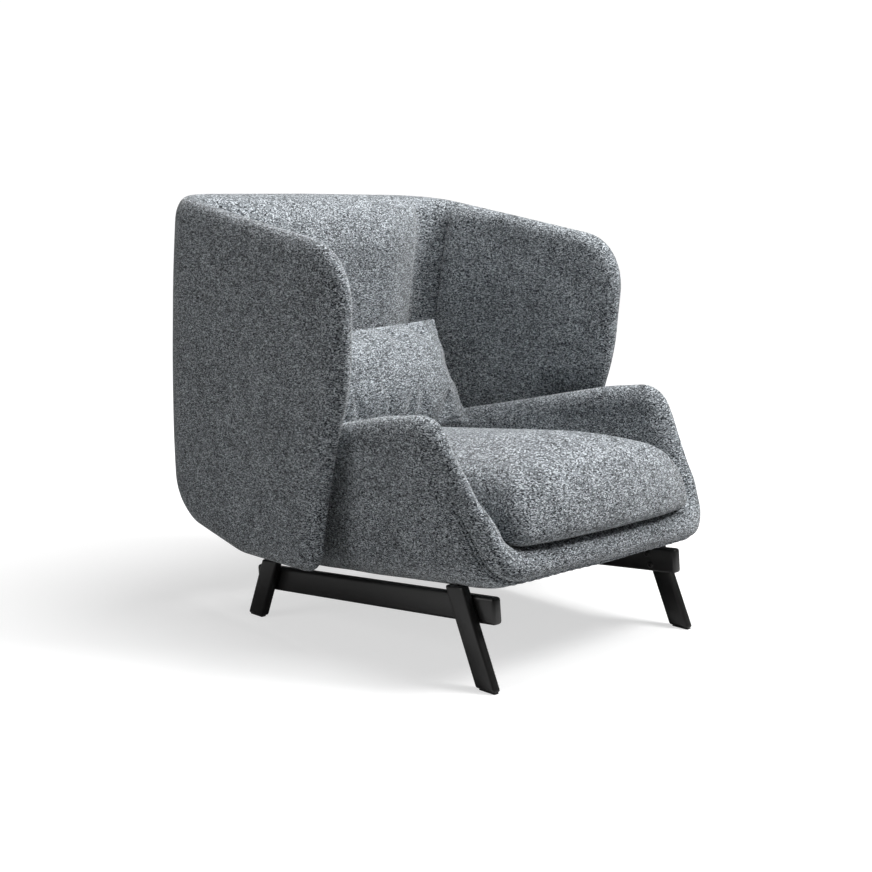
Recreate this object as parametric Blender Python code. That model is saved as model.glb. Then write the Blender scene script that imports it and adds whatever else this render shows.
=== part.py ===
"""Upholstered wing armchair: a wrap-round wing shell, a seat tub with arms, a loose seat
cushion and a lumbar pillow, on two black side frames.

Metres, +Z up, the chair faces -Y. The origin is on the floor under the middle of the chair.
Soft pieces are lofted as layers of a padded panel: each layer is the solid between two
offsets of one curved surface, so neighbouring layers fit each other all over.
"""

import math

import bmesh
import bpy
from mathutils import Matrix, Vector

# ---------------------------------------------------------------- driving dimensions
GAP = 0.0003            # clearance between pieces that touch
SEAM_GAP = 0.0010       # between two panels sewn side by side

# Seat tub, in its own frame: y runs back along the underside, z is square to it
RAKE = math.radians(5.26)       # the tub and the rails rise towards the front
TUB_REF_Y = -0.496              # the tub frame's origin on the underside, in the chair's Y
TUB_REF_Z = 0.197               # its height
TUB_HALF_WIDTH = 0.372          # outside, at the widest, just under the arm tops
TUB_TUCK = 0.030                # the sides draw in by this much at the bottom corner
TUB_CORNER = 0.072              # outer radius between side and underside
TUB_INNER_CORNER = 0.045
DECK_THICK = 0.080              # underside to the deck that the seat cushion lies on
ARM_THICK = 0.058
TUB_REAR_Y = 0.815
TUB_TAPER = 0.080               # the tub narrows by this share towards its rear
TUB_TAPER_FROM = 0.45
TUB_BOW = 0.046                 # the front edge bows forward this far at the centre
TUB_ROUND = 0.052               # reach of the rounding at its free edges
TUB_ROUND_FRONT = 0.115         # the outside rolls under from this far behind the front edge
TUB_ROUND_ARM = (0.52, 0.62)    # section lengths between which that gives way to TUB_ROUND
TUB_UPRIGHTS = 5                # grid columns from the centre to the corner
TUB_FLAT = TUB_HALF_WIDTH - TUB_TUCK - TUB_CORNER
TUB_WIDEN_OVER = 0.20           # the sides reach full width over this rise
ARM_EVEN_FROM = 0.10            # rise from which inside and outside are level
PAD_SHARE = 0.125               # outer pad's share of the thickness
CORE_SHARE = 0.375              # outer pad and core together
TUB_SHARES = (0, 0.15, 0.3, 0.45, 0.6, 0.75, 0.88, 0.96, 1)
TUB_ROWS = (0, 0.14, 0.28, 0.42, 0.56, 0.7, 0.82, 0.93, 0.965, 0.985, 1)
BAND_ROWS = 3                   # the front band is the last rows
ARM_REAR_S = TUB_HALF_WIDTH + 0.210     # arm top at the rear, as length round the section
ARM_TOP_S = TUB_HALF_WIDTH + 0.278
KNEE_S = TUB_HALF_WIDTH + 0.282

# Wing shell
SHELL_HEIGHT = 0.948            # top of the back at the centre line
SHELL_BACK_Y = 0.5205           # mid surface at the centre of the back, at the widest height
SHELL_BACK_HALF = TUB_HALF_WIDTH - 0.095        # length of the gently curved back, centre to corner
SHELL_BACK_TURN = math.radians(6)
SHELL_CORNER = 0.120            # mid-surface radius of the back corners
SHELL_CORNER_TURN = math.radians(80)
SHELL_SIDE_TURN = math.radians(4)
SHELL_SIDE = 0.62               # length of the side, from the corner to past the front edge
SHELL_THICK = 0.048
SHELL_CORE = 0.012
SHELL_BULGE = 0.142             # Y drawn in by this times the square of the height from ...
SHELL_BULGE_Z = 0.270           # ... the widest height
SHELL_FLARE = 0.082             # the sides widen with height, as a share per metre
SHELL_FLARE_Z = 0.50
PAD_SEAM_S = SHELL_BACK_HALF + 0.186    # inside seam between back pad and wing pad, along the plan curve
BACK_PAD_EXTRA = 0.130          # the back pad stands out this much beyond the front edges
BACK_PAD_FLAT_TO = 0.15         # plan length where it starts to fall off to the seam
WING_PAD_EXTRA = 0.024          # the same for the wing pads, next to the seam
WING_PAD_TO = SHELL_BACK_HALF + 0.373   # plan length where they are down to the edge thickness
CREASE_DEPTH = 0.014
CREASE_REACH = 0.035
FULLNESS_REACH = 0.14           # the pads reach their fullness this far in from the edge
SHELL_ROUND = 0.030             # reach of the rounding at its free edges, on the inside
SHELL_ROUND_OUT = 0.046         # and on the outside
SHELL_UPRIGHTS = 6              # grid columns from the centre to the crease
EDGE_SHARE = 0.20               # share of the thickness that is left at a free edge
SHELL_SHARES = (0, 0.12, 0.26, 0.42, 0.6, 0.78, 0.9, 0.965, 1)
SHELL_ROWS = (0, 0.02, 0.06, 0.16, 0.32, 0.5, 0.68, 0.84, 0.94, 0.98, 1)

# Seat cushion, in the tub's frame
CUSHION_HALF_WIDTH = TUB_HALF_WIDTH - ARM_THICK - 0.037
CUSHION_FRONT_Y = -0.030        # its front edge at the side
CUSHION_REAR_Y = 0.830
CUSHION_BOW = 0.030             # the front edge bows forward by this much at the centre
CUSHION_EDGE = 0.112            # height of its boxed edge
CUSHION_CROWN = 0.072
CUSHION_ROUND = 0.060
CUSHION_CORNER = 0.060

# Lumbar pillow
PILLOW_WIDTH = 2 * TUB_HALF_WIDTH - 0.164
PILLOW_HEIGHT = 0.265
PILLOW_THICK = 0.120
PILLOW_LEAN = math.radians(27)
PILLOW_Y = 0.237                # its centre
PILLOW_Z = TUB_REF_Z + 0.323
COVER_THICK = 0.002

# Side frames
LEG_OUTER_X = TUB_HALF_WIDTH - 0.055
LEG_THICK = 0.021
LEG_WIDTH = 0.051               # along the floor
LEG_FRONT_Y = -0.496            # front corner of the front foot, on the floor
LEG_REAR_Y = 0.283              # rear corner of the rear foot
FRONT_SLANT = 0.455             # run per rise
REAR_SLANT = 0.41
RAIL_THICK = 0.024
RAIL_HEIGHT = 0.054
RAIL_DROP = 0.0125              # rail top below the tub's underside
RAIL_FRONT_OVERHANG = 0.040     # rail past the front leg
RAIL_REAR_OVERHANG = 0.020
EDGE_BEVEL = 0.004
GLIDE_THICK = 0.003
GLIDE_INSET = 0.005
LEG_TOP_CLEARANCE = 0.0008      # leg top to the tub's underside

# Seat deck on the tub core
DECK_HALF_WIDTH = TUB_HALF_WIDTH - ARM_THICK - 0.096
DECK_FRONT_Y = 0.060
DECK_REAR_Y = 0.800
MEMBER_WIDTH = 0.045
MEMBER_HEIGHT = 0.034
WEB_WIDTH = 0.050
WEB_THICK = 0.002
WEBS_ACROSS = 6
WEBS_LENGTHWISE = 4

# Fasteners
BOLT_R = 0.004
BOLT_HEAD_R = 0.0075
BOLT_HEAD = 0.004
BOLT_INTO_LEG = 0.014
LAP_BOLT_SPACING = 0.026
HANGER_IN_LEG = 0.035
HANGER_IN_TUB = 0.024           # above the tub's underside
HOLE_CLEARANCE = 0.0006
STANDOFF_R = 0.012
STANDOFF_CLEARANCE = 0.0022
STANDOFF_SEATS = {"front": (-0.015, 0.290), "rear_low": (0.115, 0.270),
                  "rear_high": (0.115, 0.370)}   # chair Y and Z
LAP_BOLTS = ("front_low", "front_high", "rear_low", "rear_high")

# Outlines as (x, y, corner radius), from the bottom centre round the side to the top centre.
# The shell's are plan length and height, the tub's are section length and y. Each side runs
# between the two corners given by their places in the outline.
SHELL_OUTLINE = ((0, 0.275, 0), (SHELL_BACK_HALF + 0.083, 0.272, 0.06),
                 (SHELL_BACK_HALF + 0.178, 0.208, 0.09),
                 (SHELL_BACK_HALF + 0.363, 0.170, 0.20),
                 (SHELL_BACK_HALF + 0.635, 0.172, 0.06),
                 (SHELL_BACK_HALF + 0.732, 0.580, 0.40),
                 (SHELL_BACK_HALF + 0.722, 0.837, 0.15),
                 (SHELL_BACK_HALF + 0.073, SHELL_HEIGHT - 0.0025, 1.10), (0, SHELL_HEIGHT, 0))
SHELL_SIDE_CORNERS = (4, 6)
TUB_OUTLINE = ((0, TUB_REAR_Y, 0), (ARM_REAR_S, TUB_REAR_Y, 0), (ARM_TOP_S, 0.240, 0.40),
               (KNEE_S, 0.102, 0.075), (TUB_HALF_WIDTH + 0.064, 0.002, 0.18),
               (TUB_HALF_WIDTH - 0.082, -0.036, 0.10),
               (0, -TUB_BOW, 0))
TUB_SIDE_CORNERS = (1, 3)
CUSHION_SIDE_CORNERS = (2, 3)
CUSHION_UPRIGHTS = 4
PILLOW_SIDE_CORNERS = (1, 2)
PILLOW_UPRIGHTS = 3
CUSHION_SHARES = (0, 0.35, 0.65, 0.84, 0.95, 1)
CUSHION_ROWS = (0, 0.03, 0.1, 0.25, 0.5, 0.75, 0.9, 0.97, 1)
PILLOW_SHARES = (0, 0.3, 0.55, 0.75, 0.9, 1)
PILLOW_ROWS = (0, 0.1, 0.25, 0.42, 0.58, 0.75, 0.9, 1)
PILLOW_RIM = 0.010              # thickness left at the pillow's seam

FABRIC = ("fabric", (0.17, 0.185, 0.20), 0.95)
FOAM = ("foam", (0.72, 0.66, 0.50), 0.90)
BLACK_WOOD = ("black_wood", (0.012, 0.012, 0.012), 0.38)
PLYWOOD = ("plywood", (0.55, 0.42, 0.27), 0.60)
TIMBER = ("timber", (0.62, 0.48, 0.30), 0.65)
WEBBING = ("webbing", (0.10, 0.10, 0.11), 0.85)
STEEL = ("steel", (0.45, 0.45, 0.46), 0.35)
NYLON = ("nylon", (0.03, 0.03, 0.03), 0.50)


# ---------------------------------------------------------------- scene and materials
def clear_scene():
    for obj in list(bpy.data.objects):
        bpy.data.objects.remove(obj)


def material(spec):
    name, colour, roughness = spec
    found = bpy.data.materials.get(name)
    if found:
        return found
    made = bpy.data.materials.new(name)
    made.use_nodes = True
    shader = made.node_tree.nodes["Principled BSDF"]
    shader.inputs["Base Color"].default_value = (*colour, 1.0)
    shader.inputs["Roughness"].default_value = roughness
    shader.inputs["Metallic"].default_value = 1.0 if name == "steel" else 0.0
    return made


def add_object(name, bm, spec, frame=None, smooth=True):
    """Makes the named object from a bmesh, with its faces pointing out."""
    bmesh.ops.recalc_face_normals(bm, faces=bm.faces)
    mesh = bpy.data.meshes.new(name)
    bm.to_mesh(mesh)
    bm.free()
    if smooth:
        mesh.shade_smooth()
        mesh.set_sharp_from_angle(angle=math.radians(50))
    mesh.materials.append(material(spec))
    obj = bpy.data.objects.new(name, mesh)
    bpy.context.scene.collection.objects.link(obj)
    if frame is not None:
        obj.matrix_world = frame
    return obj


def add_bevel(obj, width, segments=2):
    bevel = obj.modifiers.new("Edges", "BEVEL")
    bevel.width = width
    bevel.segments = segments
    bevel.limit_method = "ANGLE"
    bevel.angle_limit = math.radians(40)
    return obj


def cut(obj, cutter):
    """Cuts the cutter out of the object, and keeps the cutter as a helper."""
    cutter.hide_render = True
    cutter.display_type = "WIRE"
    boolean = obj.modifiers.new("Cut", "BOOLEAN")
    boolean.operation = "DIFFERENCE"
    boolean.solver = "EXACT"
    boolean.object = cutter
    return obj


# ---------------------------------------------------------------- outlines and panels
def rounded_chain(corners, step=0.006):
    """An open chain of points through (x, y, radius) corners, each corner an arc."""
    points = [Vector(corners[0][:2])]
    for before, corner, after in zip(corners, corners[1:], corners[2:]):
        here = Vector(corner[:2])
        into = (Vector(before[:2]) - here).normalized()
        out = (Vector(after[:2]) - here).normalized()
        half_angle = into.angle(out) / 2
        if corner[2] <= 0 or half_angle > math.radians(89.9):
            points.append(here)
            continue
        reach = corner[2] / math.tan(half_angle)
        centre = here + (into + out).normalized() * corner[2] / math.sin(half_angle)
        start, end = here + into * reach, here + out * reach
        turn = math.pi - 2 * half_angle
        count = max(2, round(turn * corner[2] / step))
        first = start - centre
        sign = 1 if first.x * (end - centre).y - first.y * (end - centre).x > 0 else -1
        for k in range(count + 1):
            angle = sign * turn * k / count
            points.append(centre + Matrix.Rotation(angle, 2) @ first)
    points.append(Vector(corners[-1][:2]))
    return points


def nearest_index(points, target):
    return min(range(len(points)), key=lambda k: (points[k] - Vector(target)).length)


def along(points, share):
    """The point at this share of a chain's length."""
    lengths = [(b - a).length for a, b in zip(points, points[1:])]
    left = share * sum(lengths)
    for a, b, length in zip(points, points[1:], lengths):
        if left <= length and length > 0:
            return a.lerp(b, left / length)
        left -= length
    return points[-1].copy()


def edge_distance(point, chain):
    """The distance from a point to a chain of segments."""
    nearest = 1e9
    for a, b in zip(chain, chain[1:]):
        span = b - a
        share = max(0.0, min(1.0, (point - a).dot(span) / max(span.length_squared, 1e-12)))
        nearest = min(nearest, (point - a - span * share).length)
    return nearest


def at_x(chain, x):
    """The point of a chain where it first reaches this x."""
    for a, b in zip(chain, chain[1:]):
        if (a.x - x) * (b.x - x) <= 0 and a.x != b.x:
            return a.lerp(b, (x - a.x) / (b.x - a.x))
    return chain[-1].copy()


def from_x(chain, x):
    """The part of a chain beyond this x."""
    return [at_x(chain, x)] + [p for p in chain if p.x > x + 1e-6]


def two_triangles(bm, ring):
    """A quad split from its first to its third corner, so that neighbours split alike."""
    a, b, c, d = ring
    bm.faces.new((a, b, c))
    bm.faces.new((a, c, d))


class Panel:
    """A grid over a panel that is symmetric about x = 0.

    The outline runs from the bottom centre round the side to the top centre. Columns stand
    upright as far as the seam; beyond it they follow the outline, as a Coons patch between
    its bottom, side and top. Rows are shares from the bottom to the top.
    """

    def __init__(self, corners, side_corners, seam, uprights, shares, rows, free=None):
        chain = rounded_chain(corners)
        low, high = (nearest_index(chain, corners[k][:2]) for k in side_corners)
        bottom, side, top = chain[: low + 1], chain[low : high + 1], chain[high:][::-1]
        half = []
        for k in range(uprights):
            x = seam * k / uprights
            half.append([at_x(bottom, x).lerp(at_x(top, x), v) for v in rows])
        bottom, top = from_x(bottom, seam), from_x(top, seam)
        for u in shares:
            column = []
            for v in rows:
                across = along(bottom, u).lerp(along(top, u), v)
                upright = bottom[0].lerp(top[0], v).lerp(along(side, v), u)
                corner = bottom[0].lerp(bottom[-1], u).lerp(top[0].lerp(top[-1], u), v)
                column.append(across + upright - corner)
            half.append(column)
        left = [[Vector((-p.x, p.y)) for p in column] for column in half[:0:-1]]
        self.points = left + half
        self.centre = len(half) - 1
        self.seam = self.centre + uprights
        self.last = len(self.points) - 1
        self.rows = len(rows) - 1
        edge = chain if free is None else chain[nearest_index(chain, corners[free][:2]) :]
        self.depth = [
            [edge_distance(Vector((abs(p.x), p.y)), edge) for p in column] for column in self.points
        ]

    def drawn(self, i, j, columns, rows):
        """A grid point, drawn in by half a seam where this piece ends short of the panel."""
        point = self.points[i][j].copy()
        for index, ends, last, axis in ((i, columns, self.last, 0), (j, rows, self.rows, 1)):
            if index == ends[0] and index > 0:
                point += self.towards(i, j, axis, 1) * SEAM_GAP / 2
            if index == ends[1] and index < last:
                point += self.towards(i, j, axis, -1) * SEAM_GAP / 2
        return point

    def towards(self, i, j, axis, step):
        """Unit direction from a grid point to its neighbour in the same row or column."""
        neighbour = self.points[i + step][j] if axis == 0 else self.points[i][j + step]
        return (neighbour - self.points[i][j]).normalized()

    def layer(self, columns, rows, lower, upper, place):
        """The closed solid between two offsets, given as functions of column and row."""
        bm = bmesh.new()
        pairs = {}
        for i in range(columns[0], columns[1] + 1):
            for j in range(rows[0], rows[1] + 1):
                point = self.drawn(i, j, columns, rows)
                pairs[i, j] = [bm.verts.new(place(point, side(i, j))) for side in (lower, upper)]
        for i in range(columns[0], columns[1]):
            for j in range(rows[0], rows[1]):
                ring = [(i, j), (i + 1, j), (i + 1, j + 1), (i, j + 1)]
                for side in (0, 1):
                    two_triangles(bm, [pairs[key][side] for key in ring])
        rim = [(i, rows[0]) for i in range(columns[0], columns[1])]
        rim += [(columns[1], j) for j in range(rows[0], rows[1])]
        rim += [(i, rows[1]) for i in range(columns[1], columns[0], -1)]
        rim += [(columns[0], j) for j in range(rows[1], rows[0], -1)]
        for a, b in zip(rim, rim[1:] + rim[:1]):
            a, b = sorted((a, b))
            two_triangles(bm, [pairs[a][0], pairs[b][0], pairs[b][1], pairs[a][1]])
        return bm


def rounding(depth, reach, edge=0.0):
    """An elliptical edge: the edge share at the rim, 1 at the reach and beyond."""
    if depth >= reach:
        return 1.0
    return edge + (1 - edge) * math.sqrt(max(0.0, 1 - (1 - depth / reach) ** 2))


def smooth_step(x, low, high):
    t = max(0.0, min(1.0, (x - low) / (high - low)))
    return t * t * (3 - 2 * t)


def turned(bm, start, end, profile, sides=12):
    """Adds a closed turned body on the axis from start to end; profile is (share, radius)."""
    start, end = Vector(start), Vector(end)
    axis = end - start
    turn = Vector((0, 0, 1)).rotation_difference(axis)
    rings = []
    for share, radius in profile:
        ring = []
        for k in range(sides):
            angle = 2 * math.pi * k / sides
            out = turn @ Vector((radius * math.cos(angle), radius * math.sin(angle), 0))
            ring.append(bm.verts.new(start + axis * share + out))
        rings.append(ring)
    for ring, after in zip(rings, rings[1:]):
        for k in range(sides):
            n = (k + 1) % sides
            bm.faces.new([ring[k], ring[n], after[n], after[k]])
    bm.faces.new(rings[0])
    bm.faces.new(rings[-1])


def bolt(name, start, end):
    """A bolt whose head starts at the first point and whose tip is the second."""
    bm = bmesh.new()
    under_head = BOLT_HEAD / (Vector(end) - Vector(start)).length
    turned(bm, start, end, ((0, BOLT_HEAD_R), (under_head, BOLT_HEAD_R), (under_head, BOLT_R),
                            (1, BOLT_R)))
    return add_object(name, bm, STEEL)


def stud(name, start, end):
    """A headless bolt between two points."""
    bm = bmesh.new()
    cylinder(bm, start, end, BOLT_R)
    return add_object(name, bm, STEEL)


def cylinder(bm, start, end, radius, sides=12):
    """Adds a closed cylinder between two points."""
    axis = Vector(end) - Vector(start)
    turn = Vector((0, 0, 1)).rotation_difference(axis).to_matrix().to_4x4()
    middle = Matrix.Translation((Vector(start) + Vector(end)) / 2)
    bmesh.ops.create_cone(bm, cap_ends=True, segments=sides, radius1=radius, radius2=radius,
                          depth=axis.length, matrix=middle @ turn)


def tube(bm, start, end, outer, inner, sides=12):
    """Adds a closed tube between two points."""
    first = len(bm.verts)
    turned(bm, start, end, ((0, outer), (1, outer)), sides)
    bm.verts.ensure_lookup_table()
    rings = [bm.verts[first : first + sides], bm.verts[first + sides : first + 2 * sides]]
    caps = [f for f in bm.faces if len(f.verts) == sides and set(f.verts) in map(set, rings)]
    bmesh.ops.delete(bm, geom=caps, context="FACES_ONLY")
    bores = []
    for ring, centre in zip(rings, (Vector(start), Vector(end))):
        bores.append([bm.verts.new(centre + (v.co - centre) * inner / outer) for v in ring])
    for k in range(sides):
        n = (k + 1) % sides
        bm.faces.new([bores[0][k], bores[0][n], bores[1][n], bores[1][k]])
        for ring, bore in zip(rings, bores):
            bm.faces.new([ring[k], ring[n], bore[n], bore[k]])


def box(bm, low, high):
    """Adds a closed box between two corners."""
    size = Vector(high) - Vector(low)
    middle = Matrix.Translation((Vector(low) + Vector(high)) / 2)
    bmesh.ops.create_cube(bm, size=1.0, matrix=middle @ Matrix.Diagonal((*size, 1.0)))


def prism(outline, x_low, x_high):
    """A closed prism of a side-view outline, given as (y, z) points, along X."""
    bm = bmesh.new()
    rings = [[bm.verts.new((x, y, z)) for y, z in outline] for x in (x_low, x_high)]
    bm.faces.new(rings[0])
    bm.faces.new(rings[1])
    for k in range(len(outline)):
        n = (k + 1) % len(outline)
        bm.faces.new([rings[0][k], rings[0][n], rings[1][n], rings[1][k]])
    return bm


# ---------------------------------------------------------------- layers
class Layers:
    """The offsets that part a padded panel into outer cover, core and inner cover.

    skin and core give (outside, inside) offsets at a column and row; the covers close on the
    seam offset along the rim, and the core stops short of it.
    """

    def __init__(self, skin, core, seam, on_rim, gap):
        self.skin, self.core, self.seam, self.on_rim, self.gap = skin, core, seam, on_rim, gap

    def parting(self, i, j):
        if self.on_rim(i, j):
            middle = self.seam(i, j)
            return middle - self.gap / 2, middle + self.gap / 2
        return self.core(i, j)

    def outer(self, i, j):
        return self.skin(i, j)[0]

    def cover_in(self, i, j):
        return self.parting(i, j)[0] - self.gap

    def core_out(self, i, j):
        return self.parting(i, j)[0]

    def core_in(self, i, j):
        return self.parting(i, j)[1]

    def pad_out(self, i, j):
        return self.parting(i, j)[1] + self.gap

    def inner(self, i, j):
        return self.skin(i, j)[1]


# ---------------------------------------------------------------- wing shell
def shell_plan(s):
    """Position and heading of the shell's mid surface in plan, s along it from the centre."""
    arcs = ((SHELL_BACK_HALF, SHELL_BACK_TURN),
            (SHELL_CORNER * SHELL_CORNER_TURN, SHELL_CORNER_TURN),
            (SHELL_SIDE, SHELL_SIDE_TURN))
    x, y, heading = 0.0, SHELL_BACK_Y, 0.0
    for length, turn in arcs:
        run = min(s, length)
        swing = turn * run / length
        chord = run * (math.sin(swing / 2) / (swing / 2) if swing > 1e-9 else 1.0)
        x += chord * math.cos(heading + swing / 2)
        y -= chord * math.sin(heading + swing / 2)
        heading += swing
        s -= run
        if s <= 0:
            break
    return x, y, heading


def shell_place(point, offset):
    """A point at (plan length, height) of the shell, offset towards the sitter."""
    side = 1.0 if point.x >= 0 else -1.0
    x, y, heading = shell_plan(abs(point.x))
    x *= 1 + SHELL_FLARE * (point.y - SHELL_FLARE_Z)
    y -= SHELL_BULGE * (point.y - SHELL_BULGE_Z) ** 2
    x -= math.sin(heading) * offset
    y -= math.cos(heading) * offset
    return Vector((side * x, y, point.y))


def pad_fullness(s):
    """How much the inner pads stand out beyond the shell's edge thickness, at a plan length."""
    back = (BACK_PAD_EXTRA - WING_PAD_EXTRA) * (1 - smooth_step(s, BACK_PAD_FLAT_TO, PAD_SEAM_S))
    wing = WING_PAD_EXTRA * (1 - smooth_step(s, PAD_SEAM_S, WING_PAD_TO))
    return back + wing - CREASE_DEPTH * (1 - smooth_step(abs(s - PAD_SEAM_S), 0, CREASE_REACH))


def shell_layers(panel):
    def skin(i, j):
        s, depth = abs(panel.points[i][j].x), panel.depth[i][j]
        outside, inside = (SHELL_THICK / 2 * rounding(depth, reach, EDGE_SHARE)
                           for reach in (SHELL_ROUND_OUT, SHELL_ROUND))
        return -outside, inside + pad_fullness(s) * rounding(depth, FULLNESS_REACH)

    def core(i, j):
        return -SHELL_CORE / 2, SHELL_CORE / 2

    def on_rim(i, j):
        return i in (0, panel.last) or j in (0, panel.rows)

    return Layers(skin, core, lambda i, j: 0.0, on_rim, GAP)


def make_wing_shell():
    """Outer cover, core and three inner pads; returns those that the standoff bolts cross."""
    panel = Panel(SHELL_OUTLINE, SHELL_SIDE_CORNERS, PAD_SEAM_S, SHELL_UPRIGHTS, SHELL_SHARES,
                  SHELL_ROWS)
    layers = shell_layers(panel)
    rows = (0, panel.rows)
    cover = panel.layer((0, panel.last), rows, layers.outer, layers.cover_in, shell_place)
    add_object("shell_outer_cover", cover, FABRIC)
    core = panel.layer((1, panel.last - 1), (1, panel.rows - 1), layers.core_out, layers.core_in,
                       shell_place)
    crossed = [add_object("shell_core", core, PLYWOOD)]
    right, left = panel.seam, 2 * panel.centre - panel.seam
    spans = (("wing_pad_left", (0, left)), ("back_pad", (left, right)),
             ("wing_pad_right", (right, panel.last)))
    for name, span in spans:
        pad = panel.layer(span, rows, layers.pad_out, layers.inner, shell_place)
        pad = add_object(name, pad, FABRIC)
        if name != "back_pad":
            crossed.append(pad)
    return crossed


# ---------------------------------------------------------------- seat tub
def tub_frame():
    """The matrix from the tub's frame to the chair's."""
    return Matrix.Translation((0, TUB_REF_Y, TUB_REF_Z)) @ Matrix.Rotation(-RAKE, 4, "X")


def tub_section(s, half_width, radius, floor, level_from):
    """The U section at s along its outside: flat, corner, then a side."""
    flat = half_width - TUB_TUCK - radius
    arc = TUB_CORNER * math.pi / 2
    if s <= TUB_FLAT:
        return Vector((s * flat / TUB_FLAT, floor))
    if s <= TUB_FLAT + arc:
        angle = (s - TUB_FLAT) / TUB_CORNER
        return Vector((flat + radius * math.sin(angle), floor + radius * (1 - math.cos(angle))))
    rise = s - TUB_FLAT - arc
    low = floor + radius
    level = TUB_CORNER + rise
    z = level if rise >= level_from else low + (TUB_CORNER + level_from - low) * rise / level_from
    widening = min(1.0, rise / TUB_WIDEN_OVER)
    return Vector((half_width - TUB_TUCK * (1 - widening), z))


def tub_taper(y):
    """Share of the full width at a distance back along the tub."""
    return 1 - TUB_TAPER * smooth_step(y, TUB_TAPER_FROM, TUB_REAR_Y)


def tub_place(point, share):
    """A point at (section length, y) of the tub, at this share from outside to inside."""
    s = abs(point.x)
    out = tub_section(s, TUB_HALF_WIDTH, TUB_CORNER, 0.0, 1e-6)
    into = tub_section(s, TUB_HALF_WIDTH - ARM_THICK, TUB_INNER_CORNER, DECK_THICK, ARM_EVEN_FROM)
    at = out.lerp(into, share)
    return Vector((math.copysign(at.x, point.x) * tub_taper(point.y), point.y, at.y))


def tub_layers(panel):
    def skin(i, j):
        on_arm = smooth_step(abs(panel.points[i][j].x), *TUB_ROUND_ARM)
        rolled = TUB_ROUND_FRONT + (TUB_ROUND - TUB_ROUND_FRONT) * on_arm
        outside, inside = (0.5 * rounding(panel.depth[i][j], reach, EDGE_SHARE)
                           for reach in (rolled, TUB_ROUND))
        return 0.5 - outside, 0.5 + inside

    def core(i, j):
        outside, inside = skin(i, j)
        return outside + (inside - outside) * PAD_SHARE, CORE_SHARE

    def seam(i, j):
        return sum(skin(i, j)) / 2

    def on_rim(i, j):
        return i in (0, panel.last) or j == panel.rows

    return Layers(skin, core, seam, on_rim, GAP / ARM_THICK)


def make_tub():
    """Outer cover, core, arm pads and front band; returns what the bolts cross."""
    panel = Panel(TUB_OUTLINE, TUB_SIDE_CORNERS, TUB_FLAT, TUB_UPRIGHTS, TUB_SHARES, TUB_ROWS,
                  free=TUB_SIDE_CORNERS[0])
    layers = tub_layers(panel)
    frame = tub_frame()
    rows = (0, panel.rows)
    cover = panel.layer((0, panel.last), rows, layers.outer, layers.cover_in, tub_place)
    cover = add_object("tub_outer_cover", cover, FABRIC, frame)
    core = panel.layer((1, panel.last - 1), (0, panel.rows - 1), layers.core_out, layers.core_in,
                       tub_place)
    core = add_object("tub_core", core, PLYWOOD, frame)
    band_from = panel.rows - BAND_ROWS
    band = panel.layer((0, panel.last), (band_from, panel.rows), layers.pad_out, layers.inner,
                       tub_place)
    add_object("front_band", band, FABRIC, frame)
    right, left = panel.seam, 2 * panel.centre - panel.seam
    for name, span in (("arm_pad_left", (0, left)), ("arm_pad_right", (right, panel.last))):
        pad = panel.layer(span, (0, band_from), layers.pad_out, layers.inner, tub_place)
        add_object(name, pad, FABRIC, frame)
    return cover, core


def strap_edges(low, high, count):
    """Grid lines across straps spread evenly from low to high, with the two outer limits."""
    lines = [low]
    for k in range(count):
        middle = low + (high - low) * (k + 1) / (count + 1)
        lines += [middle - WEB_WIDTH / 2, middle + WEB_WIDTH / 2]
    return lines + [high]


def lattice(xs, ys, low, high):
    """Woven straps as one sheet: a grid of lines whose odd cells each way are webbing."""
    bm = bmesh.new()
    verts = {}

    def vert(i, j, z):
        if (i, j, z) not in verts:
            verts[i, j, z] = bm.verts.new((xs[i], ys[j], z))
        return verts[i, j, z]

    def filled(i, j):
        inside = 0 <= i < len(xs) - 1 and 0 <= j < len(ys) - 1
        return inside and (i % 2 == 1 or j % 2 == 1)

    for i in range(len(xs) - 1):
        for j in range(len(ys) - 1):
            if not filled(i, j):
                continue
            ring = [(i, j), (i + 1, j), (i + 1, j + 1), (i, j + 1)]
            for z in (low, high):
                bm.faces.new([vert(*key, z) for key in ring])
            for (a, b), beside in zip(zip(ring, ring[1:] + ring[:1]),
                                      ((i, j - 1), (i + 1, j), (i, j + 1), (i - 1, j))):
                if not filled(*beside):
                    bm.faces.new([vert(*a, low), vert(*b, low), vert(*b, high), vert(*a, high)])
    return bm


def make_deck():
    """The sprung deck on the tub core: a timber frame, two layers of webbing and a pad."""
    frame = tub_frame()
    low = DECK_THICK * CORE_SHARE + 2 * GAP
    high = low + MEMBER_HEIGHT
    edge, front, rear = DECK_HALF_WIDTH, DECK_FRONT_Y, DECK_REAR_Y
    members = {
        "deck_frame_front": ((-edge, front, low), (edge, front + MEMBER_WIDTH, high)),
        "deck_frame_rear": ((-edge, rear - MEMBER_WIDTH, low), (edge, rear, high)),
        "deck_frame_left": ((-edge, front + MEMBER_WIDTH + GAP, low),
                            (-edge + MEMBER_WIDTH, rear - MEMBER_WIDTH - GAP, high)),
        "deck_frame_right": ((edge - MEMBER_WIDTH, front + MEMBER_WIDTH + GAP, low),
                             (edge, rear - MEMBER_WIDTH - GAP, high)),
    }
    for name, corners in members.items():
        bm = bmesh.new()
        box(bm, *corners)
        add_object(name, bm, TIMBER, frame, smooth=False)
    level = high + GAP
    webs = lattice(strap_edges(-edge, edge, WEBS_LENGTHWISE), strap_edges(front, rear, WEBS_ACROSS),
                   level, level + WEB_THICK)
    add_object("seat_webbing", webs, WEBBING, frame, smooth=False)
    bm = bmesh.new()
    box(bm, (-edge, front, level + WEB_THICK + GAP), (edge, rear, DECK_THICK))
    add_object("deck_pad", bm, FOAM, frame, smooth=False)


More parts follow.
